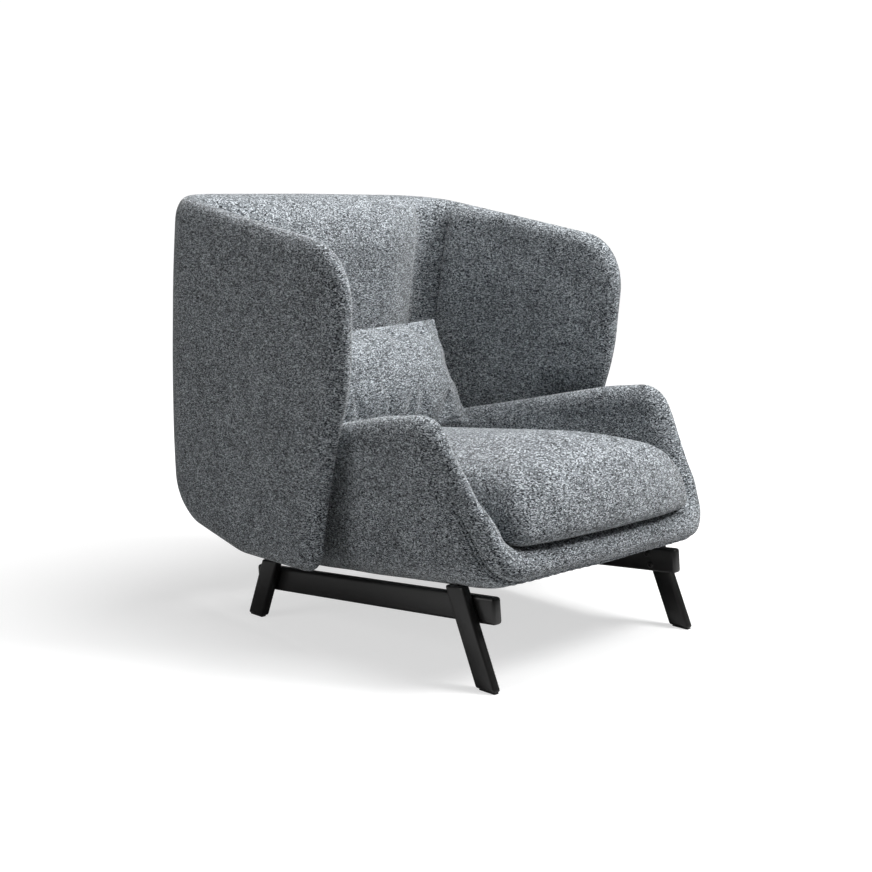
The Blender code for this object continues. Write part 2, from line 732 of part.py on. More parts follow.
# ---------------------------------------------------------------- seat cushion and pillow
def cushion_layers(panel, low, high):
    """Layers of a loose cushion between two heights over its grid."""
    def skin(i, j):
        return low(i, j), high(i, j)

    def core(i, j):
        return low(i, j) + COVER_THICK + GAP, high(i, j) - COVER_THICK - GAP

    def seam(i, j):
        return (low(i, j) + high(i, j)) / 2

    def on_rim(i, j):
        return i in (0, panel.last) or j in (0, panel.rows)

    return Layers(skin, core, seam, on_rim, GAP)


def add_cushion(names, panel, layers, place, frame):
    """A lower cover, a core and an upper cover."""
    whole = (0, panel.last), (0, panel.rows)
    inside = (1, panel.last - 1), (1, panel.rows - 1)
    lower = panel.layer(*whole, layers.outer, layers.cover_in, place)
    add_object(names[0], lower, FABRIC, frame)
    add_object(names[1], panel.layer(*inside, layers.core_out, layers.core_in, place), FOAM, frame)
    upper = panel.layer(*whole, layers.pad_out, layers.inner, place)
    add_object(names[2], upper, FABRIC, frame)


def make_seat_cushion():
    half, rear, front = CUSHION_HALF_WIDTH, CUSHION_REAR_Y, CUSHION_FRONT_Y
    outline = ((0, front - CUSHION_BOW, 0), (half * 0.6, front - CUSHION_BOW * 0.8, 0.5),
               (half, front, CUSHION_CORNER), (half, rear, CUSHION_CORNER), (0, rear, 0))
    panel = Panel(outline, CUSHION_SIDE_CORNERS, half / 2, CUSHION_UPRIGHTS, CUSHION_SHARES,
                  CUSHION_ROWS)
    middle = DECK_THICK + GAP + CUSHION_EDGE / 2

    def swell(i, j):
        return CUSHION_EDGE / 2 * rounding(panel.depth[i][j], CUSHION_ROUND, EDGE_SHARE)

    def low(i, j):
        return middle - swell(i, j)

    def high(i, j):
        inward = min(1.0, panel.depth[i][j] / half)
        return middle + swell(i, j) + CUSHION_CROWN * (1 - (1 - inward) ** 2)

    names = ("seat_cushion_lower_cover", "seat_cushion_core", "seat_cushion_upper_cover")
    add_cushion(names, panel, cushion_layers(panel, low, high),
                lambda point, z: Vector((point.x * tub_taper(point.y), point.y, z)), tub_frame())


def make_pillow():
    half, tall = PILLOW_WIDTH / 2, PILLOW_HEIGHT / 2
    outline = ((0, -tall, 0), (half, -tall, 0.02), (half, tall, 0.02), (0, tall, 0))
    panel = Panel(outline, PILLOW_SIDE_CORNERS, half / 2, PILLOW_UPRIGHTS, PILLOW_SHARES,
                  PILLOW_ROWS)

    def front(i, j):
        x, y = panel.points[i][j]
        across = max(0.0, 1 - (x / half) ** 2)
        upright = max(0.0, 1 - (y / tall) ** 2)
        return PILLOW_THICK / 2 * max(PILLOW_RIM / PILLOW_THICK, (across * upright) ** 0.5)

    def back(i, j):
        return -front(i, j)

    frame = Matrix.Translation((0, PILLOW_Y, PILLOW_Z)) @ Matrix.Rotation(-PILLOW_LEAN, 4, "X")
    names = ("pillow_front_cover", "pillow_filling", "pillow_back_cover")
    add_cushion(names, panel, cushion_layers(panel, back, front),
                lambda point, out: Vector((point.x, out, point.y)), frame)


# ---------------------------------------------------------------- side frames
def side_point(y, z):
    """The chair's (Y, Z) of a point of the tub's side view."""
    at = tub_frame() @ Vector((0, y, z))
    return at.y, at.z


def line_to_tub_level(y_floor, slant, level):
    """Where a leg's edge, from the floor at y_floor, meets a level of the tub's side view."""
    rake_slope = -math.tan(RAKE)
    base_y, base_z = side_point(0, level)
    z = (base_z + rake_slope * (y_floor - base_y)) / (1 - rake_slope * slant)
    return y_floor + slant * z, z


def leg_top_level():
    """Tub side view level that the leg's inner edge reaches under the tub's rounded corner."""
    x = LEG_OUTER_X - LEG_THICK - TUB_FLAT
    return TUB_CORNER - math.sqrt(TUB_CORNER ** 2 - x ** 2) - LEG_TOP_CLEARANCE


def leg_edges(front):
    """Floor Y of the front and rear edge of a leg, and its slant."""
    if front:
        return LEG_FRONT_Y, LEG_FRONT_Y + LEG_WIDTH, FRONT_SLANT
    return LEG_REAR_Y - LEG_WIDTH, LEG_REAR_Y, -REAR_SLANT


def leg_outline(front):
    """Side view of a leg, cut level at the glide and along the tub's underside."""
    y_low, y_high, slant = leg_edges(front)
    top = leg_top_level()
    foot = GLIDE_THICK + GAP
    return [(y_low + slant * foot, foot), (y_high + slant * foot, foot),
            line_to_tub_level(y_high, slant, top), line_to_tub_level(y_low, slant, top)]


def rail_ends():
    """Tub side view y of the rail's two ends."""
    to_tub = tub_frame().inverted()
    level = -RAIL_DROP - RAIL_HEIGHT / 2
    front = line_to_tub_level(LEG_FRONT_Y, FRONT_SLANT, level)
    rear = line_to_tub_level(LEG_REAR_Y, -REAR_SLANT, level)
    return ((to_tub @ Vector((0, *front))).y - RAIL_FRONT_OVERHANG,
            (to_tub @ Vector((0, *rear))).y + RAIL_REAR_OVERHANG)


def lap_centres():
    """Chair (Y, Z) of the bolts of the front and the rear lap."""
    level = -RAIL_DROP - RAIL_HEIGHT / 2
    centres = []
    for front in (True, False):
        y_low, y_high, slant = leg_edges(front)
        y, z = line_to_tub_level((y_low + y_high) / 2, slant, level)
        run = Vector((slant, 1)).normalized() * LAP_BOLT_SPACING / 2
        centres += [(y - run.x, z - run.y), (y + run.x, z + run.y)]
    return centres


def hanger_axes():
    """Foot of each hanger bolt on the leg tops' level, as tub side view y."""
    to_tub = tub_frame().inverted()
    ys = []
    for front in (True, False):
        y_low, y_high, slant = leg_edges(front)
        top = line_to_tub_level((y_low + y_high) / 2, slant, 0.0)
        ys.append((to_tub @ Vector((0, *top))).y)
    return ys


def make_side_frames(tub_cover, tub_core):
    rail_outer = LEG_OUTER_X - LEG_THICK - GAP
    rail_front, rail_rear = rail_ends()
    leg_middle = LEG_OUTER_X - LEG_THICK / 2
    lap_cut, hanger_cut = bmesh.new(), bmesh.new()
    frame = tub_frame()
    for side, sign in (("left", -1), ("right", 1)):
        for place, front in (("front", True), ("rear", False)):
            inner, outer = sorted((sign * LEG_OUTER_X, sign * (LEG_OUTER_X - LEG_THICK)))
            leg = add_object(f"leg_{place}_{side}", prism(leg_outline(front), inner, outer),
                             BLACK_WOOD, smooth=False)
            add_bevel(leg, EDGE_BEVEL)
            y_low, y_high, slant = leg_edges(front)
            glide = bmesh.new()
            box(glide, (inner + GLIDE_INSET, y_low + GLIDE_INSET, 0),
                (outer - GLIDE_INSET, y_high - GLIDE_INSET, GLIDE_THICK))
            add_object(f"glide_{place}_{side}", glide, NYLON, smooth=False)
        low, high = sorted((sign * rail_outer, sign * (rail_outer - RAIL_THICK)))
        bm = bmesh.new()
        box(bm, (low, rail_front, -RAIL_DROP - RAIL_HEIGHT), (high, rail_rear, -RAIL_DROP))
        rail = add_object(f"rail_{side}", bm, BLACK_WOOD, frame, smooth=False)
        add_bevel(rail, EDGE_BEVEL)
        head = sign * (rail_outer - RAIL_THICK - GAP)
        tip = sign * (rail_outer + BOLT_INTO_LEG)
        for name, (y, z) in zip(LAP_BOLTS, lap_centres()):
            bolt(f"lap_bolt_{name}_{side}", (head - sign * BOLT_HEAD, y, z), (tip, y, z))
            cylinder(lap_cut, (head - sign * BOLT_HEAD, y, z), (tip + sign * GAP, y, z),
                     BOLT_R + HOLE_CLEARANCE)
        for place, y in zip(("front", "rear"), hanger_axes()):
            start = frame @ Vector((sign * leg_middle, y, -HANGER_IN_LEG))
            end = frame @ Vector((sign * leg_middle, y, HANGER_IN_TUB))
            stud(f"hanger_bolt_{place}_{side}", start, end)
            beyond = (end - start).normalized() * GAP * 2
            cylinder(hanger_cut, start - beyond, end + beyond, BOLT_R + HOLE_CLEARANCE)
    lap_cutter = add_object("lap_bolt_holes", lap_cut, STEEL)
    hanger_cutter = add_object("hanger_bolt_holes", hanger_cut, STEEL)
    for side in ("left", "right"):
        cut(bpy.data.objects[f"rail_{side}"], lap_cutter)
        for place in ("front", "rear"):
            leg = bpy.data.objects[f"leg_{place}_{side}"]
            cut(leg, lap_cutter)
            cut(leg, hanger_cutter)
    cut(tub_cover, hanger_cutter)
    cut(tub_core, hanger_cutter)


# ---------------------------------------------------------------- shell to tub
def shell_length_at(y, z, offset_at):
    """Plan length of the side whose surface passes this Y at this height."""
    low, high = SHELL_BACK_HALF, SHELL_BACK_HALF + SHELL_CORNER * SHELL_CORNER_TURN + SHELL_SIDE
    for _ in range(40):
        middle = (low + high) / 2
        if shell_place(Vector((middle, z)), offset_at(middle)).y > y:
            low = middle
        else:
            high = middle
    return low


def tub_side_x(y, z, share):
    """Half width of the tub's side at this chair Y and Z, at a share of its thickness."""
    at = tub_frame().inverted() @ Vector((0, y, z))
    s = TUB_FLAT + TUB_CORNER * (math.pi / 2 - 1) + at.z
    return tub_place(Vector((s, at.y)), share).x


def make_shell_fixings(tub_cover, tub_core, crossed):
    """Spacers between the tub's sides and the wings, each with a bolt from core to core."""
    holes = bmesh.new()
    for side, sign in (("left", -1), ("right", 1)):
        for seat, (y, z) in STANDOFF_SEATS.items():
            pad_at = shell_length_at(y, z, lambda s: SHELL_THICK / 2 + pad_fullness(s))
            core_at = shell_length_at(y, z, lambda s: 0.0)
            pad_face = shell_place(Vector((pad_at, z)), SHELL_THICK / 2 + pad_fullness(pad_at)).x
            core_middle = shell_place(Vector((core_at, z)), 0.0).x
            tub_face = tub_side_x(y, z, 0.0) + STANDOFF_CLEARANCE
            tub_middle = tub_side_x(y, z, (PAD_SHARE + CORE_SHARE) / 2)
            spacer = bmesh.new()
            tube(spacer, (sign * tub_face, y, z), (sign * (pad_face - STANDOFF_CLEARANCE), y, z),
                 STANDOFF_R, BOLT_R + HOLE_CLEARANCE)
            add_object(f"shell_spacer_{seat}_{side}", spacer, NYLON)
            stud(f"shell_bolt_{seat}_{side}", (sign * tub_middle, y, z), (sign * core_middle, y, z))
            cylinder(holes, (sign * (tub_middle - 2 * GAP), y, z),
                     (sign * (core_middle + 2 * GAP), y, z), BOLT_R + HOLE_CLEARANCE)
    cutter = add_object("shell_bolt_holes", holes, STEEL)
    for obj in (tub_cover, tub_core, *crossed):
        cut(obj, cutter)


def main():
    clear_scene()
    crossed = make_wing_shell()
    tub_cover, tub_core = make_tub()
    make_deck()
    make_seat_cushion()
    make_pillow()
    make_side_frames(tub_cover, tub_core)
    make_shell_fixings(tub_cover, tub_core, crossed)


main()
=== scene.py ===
"""Wing armchair in melange tweed on two black side frames: the visible pieces.

Every soft piece is a panel: a grid over the cutting outline, bent to the body's curve and
padded to its fullness. The loose cushions are then inflated as cloth. Metres, +Z up, the
chair faces -Y.
"""

import math

import bmesh
import bpy
import numpy as np
from mathutils import Matrix, Vector, noise


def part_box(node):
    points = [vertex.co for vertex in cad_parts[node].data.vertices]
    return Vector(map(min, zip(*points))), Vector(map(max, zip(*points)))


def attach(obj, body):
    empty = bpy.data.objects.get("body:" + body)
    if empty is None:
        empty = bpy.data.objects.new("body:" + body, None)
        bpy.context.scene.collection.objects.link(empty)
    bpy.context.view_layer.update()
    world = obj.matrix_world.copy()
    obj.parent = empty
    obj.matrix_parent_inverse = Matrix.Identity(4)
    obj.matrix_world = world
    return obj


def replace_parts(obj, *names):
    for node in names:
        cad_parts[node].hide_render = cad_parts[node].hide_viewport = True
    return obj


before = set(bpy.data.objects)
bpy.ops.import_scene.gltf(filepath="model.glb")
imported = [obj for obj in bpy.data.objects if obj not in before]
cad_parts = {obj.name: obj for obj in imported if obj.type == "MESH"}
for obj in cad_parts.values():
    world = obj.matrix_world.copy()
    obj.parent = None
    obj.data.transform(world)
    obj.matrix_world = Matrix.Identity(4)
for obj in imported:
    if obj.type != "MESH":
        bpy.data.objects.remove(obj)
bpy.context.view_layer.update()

# ---------------------------------------------------------------- sizes of the soft body
RAKE = math.radians(5.26)  # the tub rises towards the front
TUB_ORIGIN = (0.0, -0.496, 0.197)
TUB_HALF_WIDTH = 0.372
TUB_TUCK = 0.030  # the sides draw in towards the bottom corner
TUB_CORNER = 0.072
TUB_INNER_CORNER = 0.045
DECK_THICK = 0.080
ARM_THICK = 0.058
TUB_REAR_Y = 0.815
TUB_TAPER = 0.080
TUB_TAPER_FROM = 0.45
TUB_ROUND = 0.050
TUB_ROUND_FRONT = 0.115  # the outside rolls under this far behind the front edge
TUB_ROUND_ARM = (0.52, 0.62)  # section lengths between which that gives way to TUB_ROUND
TUB_FLAT = TUB_HALF_WIDTH - TUB_TUCK - TUB_CORNER
TUB_WIDEN_OVER = 0.20
ARM_EVEN_FROM = 0.10
CORE_SHARE = 0.375
TUB_BOW = 0.046  # the front edge bows forward at the centre
TUB_OUTLINE = ((0, TUB_REAR_Y, 0), (0.582, TUB_REAR_Y, 0), (0.650, 0.240, 0.40),
               (0.654, 0.102, 0.075), (0.436, 0.002, 0.18), (0.290, -0.036, 0.10),
               (0, -TUB_BOW, 0))
COVER_SHARE = 0.36  # hidden faces of cover, plywood and arm pad, outwards from the middle
CORE_OUT_SHARE = 0.33
CORE_IN_SHARE = 0.12
PAD_IN_SHARE = 0.11
TUB_CORE_SHORT = 0.045  # the plywood ends this far before the front edge
BAND_SEAM_FRONT = 0.030  # welt seam behind the front edge, under the seat
BAND_SEAM_ARM = 0.050  # and on the arms
BAND_INSIDE = 0.060  # the band runs this far in on the inside
TUB_REAR_WRAP = 0.014  # the outer cover wraps the rear edge over this share
SEAM_DIP = 0.20  # the padding is drawn in by this share at the welt
SEAM_DIP_REACH = 0.015
WELT_SUNK = 0.0042

SHELL_BACK_Y = 0.5205
SHELL_BACK_HALF = 0.277
SHELL_BACK_TURN = math.radians(6)
SHELL_CORNER = 0.120
SHELL_CORNER_TURN = math.radians(80)
SHELL_SIDE = 0.62
SHELL_SIDE_TURN = math.radians(4)
SHELL_THICK = 0.048
SHELL_CORE_HALF = 0.0065
SHELL_BULGE = 0.142
SHELL_BULGE_Z = 0.270
SHELL_FLARE = 0.082
SHELL_FLARE_Z = 0.50
SHELL_ROUND = 0.030
SHELL_ROUND_OUT = 0.046  # the outside rolls over further
THIN_FROM_S = (0.70, 0.90)  # beside the arms the inside thins over these plan lengths ...
THIN_BELOW_Z = (0.44, 0.54)  # ... below these heights ...
THIN_SHARE = 0.7  # ... by this share of the half thickness
SHELL_OUTLINE = ((0, 0.275, 0), (0.360, 0.272, 0.06), (0.455, 0.208, 0.09),
                 (0.640, 0.170, 0.20), (0.912, 0.172, 0.06), (1.009, 0.580, 0.40),
                 (0.999, 0.837, 0.15), (0.350, 0.9455, 1.10), (0, 0.948, 0))
PAD_SEAM_S = 0.463  # crease between the back pad and a wing pad
BACK_PAD_EXTRA = 0.130
BACK_PAD_FLAT_TO = 0.15
WING_PAD_EXTRA = 0.024
WING_PAD_TO = 0.65
FULLNESS_REACH = 0.14
BACK_CREASE = (0.024, 0.034)  # how deep and from how far the back pad dives to its crease
WING_CREASE = (0.022, 0.010)  # the same for a wing pad

CUSHION_HALF_WIDTH = 0.277
CUSHION_FRONT_Y = -0.030
CUSHION_REAR_Y = 0.830
CUSHION_BOW = 0.030
CUSHION_EDGE = 0.112
CUSHION_CROWN = 0.080
CUSHION_ROUND = 0.066
CUSHION_CORNER = 0.045
CUSHION_SEAM = 0.024  # height of its seam over the deck
CUSHION_SLACK = 0.004  # drawn in before it is inflated

DECK_FRONT_Y = 0.060
DECK_REAR_Y = 0.800
DECK_ROUND = 0.012  # its corners and its edge
DECK_STEP = 0.014
DECK_BASE = 0.038  # its underside over the tub's core
DECK_GAP = 0.001  # to the seat cushion
LINING_RISE = 0.012  # past the timber's top
LINING_GAP = 0.0012
LINING_THICK = 0.003
LINING_RIM = 0.001
LINING_ROUND = 0.012

PILLOW_WIDTH = 0.580
PILLOW_HEIGHT = 0.283
PILLOW_THICK = 0.120
PILLOW_LEAN = math.radians(27)
PILLOW_PLACE = (0.0, 0.236, 0.514)
PILLOW_PULL = 0.016  # its edges draw in by this between the corners
PILLOW_SLACK = 0.006

LEG_OUTER_X = 0.317
LEG_THICK = 0.021
LEG_WIDTH = 0.051
LEG_FRONT_Y = -0.496
LEG_REAR_Y = 0.283
FRONT_SLANT = 0.455
REAR_SLANT = 0.41
LEG_FOOT = 0.0033  # the glide's thickness under it
LEG_SUNK = 0.0022  # the fabric gives by this over a leg's top
LEG_EASE = 0.0052
RAIL_HEIGHT = 0.054
RAIL_DROP = 0.0125
RAIL_EASE = 0.0068

# ---------------------------------------------------------------- grids
RIM_STEPS = (0, 0.0006, 0.002, 0.0045, 0.008, 0.0125, 0.018, 0.025, 0.033)
GRID_STEP = 0.010
PANEL_SLIT = 0.0006  # share of a row left open between cover and band
SEAM_HALF = 0.0004  # half the slit between two panels sewn together


def rounded_chain(corners, step=0.004):
    """An open chain of points through (x, y, radius) corners, each corner an arc."""
    points = [Vector(corners[0][:2])]
    for before, corner, after in zip(corners, corners[1:], corners[2:]):
        here = Vector(corner[:2])
        into = (Vector(before[:2]) - here).normalized()
        out = (Vector(after[:2]) - here).normalized()
        half_angle = into.angle(out) / 2
        if corner[2] <= 0 or half_angle > math.radians(89.9):
            points.append(here)
            continue
        reach = corner[2] / math.tan(half_angle)
        centre = here + (into + out).normalized() * corner[2] / math.sin(half_angle)
        first = here + into * reach - centre
        last = here + out * reach - centre
        turn = math.pi - 2 * half_angle
        count = max(2, round(turn * corner[2] / step))
        sign = 1 if first.x * last.y - first.y * last.x > 0 else -1
        for k in range(count + 1):
            points.append(centre + Matrix.Rotation(sign * turn * k / count, 2) @ first)
    points.append(Vector(corners[-1][:2]))
    return np.array([tuple(p) for p in points])


def along(chain, shares):
    """Points at these shares of a chain's length."""
    lengths = np.concatenate(([0], np.cumsum(np.linalg.norm(np.diff(chain, axis=0), axis=1))))
    at = np.asarray(shares) * lengths[-1]
    return np.stack([np.interp(at, lengths, chain[:, k]) for k in (0, 1)], axis=-1)


def distance_to(points, chain):
    """The distance from each point to a chain of segments."""
    nearest = np.full(points.shape[:-1], 1e9)
    for a, b in zip(chain, chain[1:]):
        span = b - a
        share = np.clip(((points - a) @ span) / max(span @ span, 1e-12), 0, 1)
        away = np.linalg.norm(points - a - share[..., None] * span, axis=-1)
        nearest = np.minimum(nearest, away)
    return nearest


def graded(length, low_rim, high_rim, step=GRID_STEP):
    """Shares of a length from 0 to 1, fine next to the ends that are rims."""
    low = RIM_STEPS if low_rim else [0]
    high = [length - r for r in RIM_STEPS[::-1]] if high_rim else [length]
    count = max(2, round((high[0] - low[-1]) / step))
    inner = np.linspace(low[-1], high[0], count + 1)[1:-1]
    return np.concatenate((low, inner, high)) / length


class Panel:
    """A grid over an outline that is symmetric about x = 0, as in a cutting pattern.

    The outline runs from the bottom centre round the side to the top centre. Up to the seam
    columns stand upright; beyond it they follow the side.
    """

    def __init__(self, corners, low_corner, high_corner, seam, free=None, step=GRID_STEP):
        self.chain = rounded_chain(corners)
        ends = [np.linalg.norm(self.chain - corners[k][:2], axis=1).argmin()
                for k in (low_corner, high_corner)]
        bottom, self.side = self.chain[: ends[0] + 1], self.chain[ends[0] : ends[1] + 1]
        top = self.chain[ends[1] :][::-1]
        self.seam, self.bottom, self.top = seam, bottom, top
        self.edge = self.chain
        if free is not None:
            gaps = np.linalg.norm(self.chain - corners[free][:2], axis=1)
            self.edge = self.chain[gaps.argmin() :]
        beyond = max(bottom[-1, 0], top[-1, 0]) - seam
        middle = np.arange(0, seam, step / 1.4)
        self.columns = np.concatenate((middle / seam, 1 + graded(beyond, False, True, step)))
        self.step = step

    def at(self, u, v):
        """Pattern points; u is 0 at the centre, 1 at the seam and 2 at the side."""
        u, v = np.broadcast_arrays(np.asarray(u, float), np.asarray(v, float))
        parts = []
        for chain in (self.bottom, self.top):
            x = np.minimum(u, 1) * self.seam
            y = np.interp(x, chain[:, 0], chain[:, 1]) if np.all(np.diff(chain[:, 0]) >= 0) else 0
            inner = np.stack((x, y), axis=-1)
            cut = chain[chain[:, 0] > self.seam]
            start = np.array((self.seam, np.interp(self.seam, chain[:, 0], chain[:, 1])))
            rest = np.concatenate((start[None], cut))
            beyond = along(rest, np.clip(u - 1, 0, 1))
            parts.append((np.where((u > 1)[..., None], beyond, inner), start, rest[-1]))
        (low, low_start, low_end), (high, high_start, high_end) = parts
        share, v = np.clip(u - 1, 0, 1)[..., None], v[..., None]
        across = low * (1 - v) + high * v
        first = low_start * (1 - v) + high_start * v
        upright = first * (1 - share) + along(self.side, v[..., 0]) * share
        corner = first * (1 - share) + (low_end * (1 - v) + high_end * v) * share
        return np.where((u > 1)[..., None], across + upright - corner, across)

    def grid(self, u, v):
        """Pattern points and their depth from the free edge; negative u is the left half."""
        points = self.at(np.abs(u), v)
        depth = distance_to(points, self.edge)
        points[..., 0] *= np.where(u < 0, -1, 1)
        return points, depth

    def across(self, low=None, high=2.0):
        """Column positions between two, mirrored where low is left out."""
        columns = self.columns[self.columns <= high + 1e-9]
        if low is None:
            return np.concatenate((-columns[:0:-1], columns))
        return columns[columns >= low - 1e-9]


def rounding(depth, reach, edge=0.0):
    """An elliptical edge: the edge share at the rim, 1 at the reach and beyond."""
    t = np.clip(1 - np.asarray(depth) / reach, 0, 1)
    return edge + (1 - edge) * np.sqrt(1 - t * t)


def smooth_step(x, low, high):
    t = np.clip((x - low) / (high - low), 0, 1)
    return t * t * (3 - 2 * t)


def ripple(points, size, seed=0.0):
    """Smooth noise from -1 to 1 at each point, with features of about this size."""
    flat = points.reshape(-1, 3) / size + seed
    return np.array([noise.noise(p) for p in flat.tolist()]).reshape(points.shape[:-1])


# ---------------------------------------------------------------- meshes
def new_piece(name, bm, material, smooth=True, split=50):
    """Makes the named piece, riding on the body."""
    bmesh.ops.recalc_face_normals(bm, faces=bm.faces)
    mesh = bpy.data.meshes.new(name)
    bm.to_mesh(mesh)
    bm.free()
    if smooth:
        mesh.shade_smooth()
        mesh.set_sharp_from_angle(angle=math.radians(split))
    mesh.materials.append(material)
    piece = bpy.data.objects.new(name, mesh)
    bpy.context.scene.collection.objects.link(piece)
    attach(piece, "root")
    return piece


def padded_body(lower, upper):
    """The closed body between two grids of points with the same number of rows and columns."""
    bm = bmesh.new()
    count, rows = lower.shape[:2]
    faces = [[bm.verts.new(p) for p in grid.reshape(-1, 3).tolist()] for grid in (lower, upper)]

    def ring(side, keys):
        return [faces[side][i * rows + j] for i, j in keys]

    for i in range(count - 1):
        for j in range(rows - 1):
            keys = [(i, j), (i + 1, j), (i + 1, j + 1), (i, j + 1)]
            bm.faces.new(ring(0, keys[::-1]))
            bm.faces.new(ring(1, keys))
    rim = [(i, 0) for i in range(count - 1)] + [(count - 1, j) for j in range(rows - 1)]
    rim += [(i, rows - 1) for i in range(count - 1, 0, -1)]
    rim += [(0, j) for j in range(rows - 1, 0, -1)]
    for a, b in zip(rim, rim[1:] + rim[:1]):
        bm.faces.new(ring(0, (a, b)) + ring(1, (b, a)))
    return bm


def swept(profile, path, across, up):
    """A closed body: a closed profile of (across, up) points carried along a path."""
    bm = bmesh.new()
    rings = []
    for p, a, n in zip(path, across, up):
        rings.append([bm.verts.new(p + a * x + n * y) for x, y in profile])
    for ring, after in zip(rings, rings[1:]):
        for k in range(len(profile)):
            n = (k + 1) % len(profile)
            bm.faces.new((ring[k], ring[n], after[n], after[k]))
    bm.faces.new(rings[0][::-1])
    bm.faces.new(rings[-1])
    return bm


def subdivided(piece, levels=1):
    modifier = piece.modifiers.new("Smooth", "SUBSURF")
    modifier.levels = modifier.render_levels = levels
    return piece


def mesh_points(mesh):
    points = np.empty(len(mesh.vertices) * 3)
    mesh.vertices.foreach_get("co", points)
    return points.reshape(-1, 3)


def inflate(piece, pressure, growth, cap, pinned, frames=20):
    """Puffs the piece up as cloth: growth is spare fabric, cap the furthest a point moves."""
    scene = bpy.context.scene
    start = mesh_points(piece.data)
    group = piece.vertex_groups.new(name="sewn")
    group.add([int(k) for k in np.nonzero(pinned)[0]], 1.0, "REPLACE")
    cloth = piece.modifiers.new("Cloth", "CLOTH")
    cloth.settings.quality = 6
    cloth.settings.mass = 0.35
    cloth.settings.use_pressure = True
    cloth.settings.uniform_pressure_force = pressure
    cloth.settings.shrink_min = -growth
    cloth.settings.tension_stiffness = cloth.settings.compression_stiffness = 30
    cloth.settings.shear_stiffness = 12
    cloth.settings.bending_stiffness = 1.2
    cloth.settings.effector_weights.gravity = 0.0
    cloth.settings.vertex_group_mass = "sewn"
    cloth.collision_settings.use_collision = False
    cloth.point_cache.frame_start, cloth.point_cache.frame_end = 1, frames
    for k in range(1, frames + 1):
        scene.frame_set(k)
    settled = piece.evaluated_get(bpy.context.evaluated_depsgraph_get())
    moved = mesh_points(settled.data) - start
    length = np.linalg.norm(moved, axis=1, keepdims=True)
    moved *= cap * np.tanh(length / cap) / np.maximum(length, 1e-9)
    piece.modifiers.remove(cloth)
    scene.frame_set(1)
    piece.data.vertices.foreach_set("co", (start + moved).ravel())
    piece.vertex_groups.clear()
    piece.data.update()


# ---------------------------------------------------------------- materials
def add_node(tree, kind, inputs=(), **settings):
    """Adds a shader node; inputs pairs a socket with a value or with another socket."""
    node = tree.nodes.new("ShaderNode" + kind)
    for name, value in settings.items():
        setattr(node, name, value)
    for socket, value in dict(inputs).items():
        if isinstance(value, bpy.types.NodeSocket):
            tree.links.new(value, node.inputs[socket])
        else:
            node.inputs[socket].default_value = value
    return node


def node_group(name, inputs, outputs):
    """A shader node group with (name, kind, value) inputs and (name, kind) outputs."""
    tree = bpy.data.node_groups.new(name, "ShaderNodeTree")
    for label, kind, value in inputs:
        socket = tree.interface.new_socket(label, in_out="INPUT", socket_type="NodeSocket" + kind)
        if value is not None:
            socket.default_value = value
    for label, kind in outputs:
        tree.interface.new_socket(label, in_out="OUTPUT", socket_type="NodeSocket" + kind)
    return tree, tree.nodes.new("NodeGroupInput"), tree.nodes.new("NodeGroupOutput")


def arithmetic(tree, operation, *values):
    return add_node(tree, "Math", dict(enumerate(values)), operation=operation).outputs[0]


def mixed(tree, factor, low, high):
    node = add_node(tree, "Mix", {0: factor, 6: low, 7: high}, data_type="RGBA")
    return node.outputs[2]


def ramp(tree, value, stops):
    """A colour ramp of (position, grey or colour) stops."""
    node = add_node(tree, "ValToRGB", {0: value})
    elements = node.color_ramp.elements
    while len(elements) < len(stops):
        elements.new(0.5)
    for element, (position, colour) in zip(elements, stops):
        element.position = position
        element.color = (*colour, 1.0) if isinstance(colour, tuple) else (colour,) * 3 + (1.0,)
    return node.outputs[0]


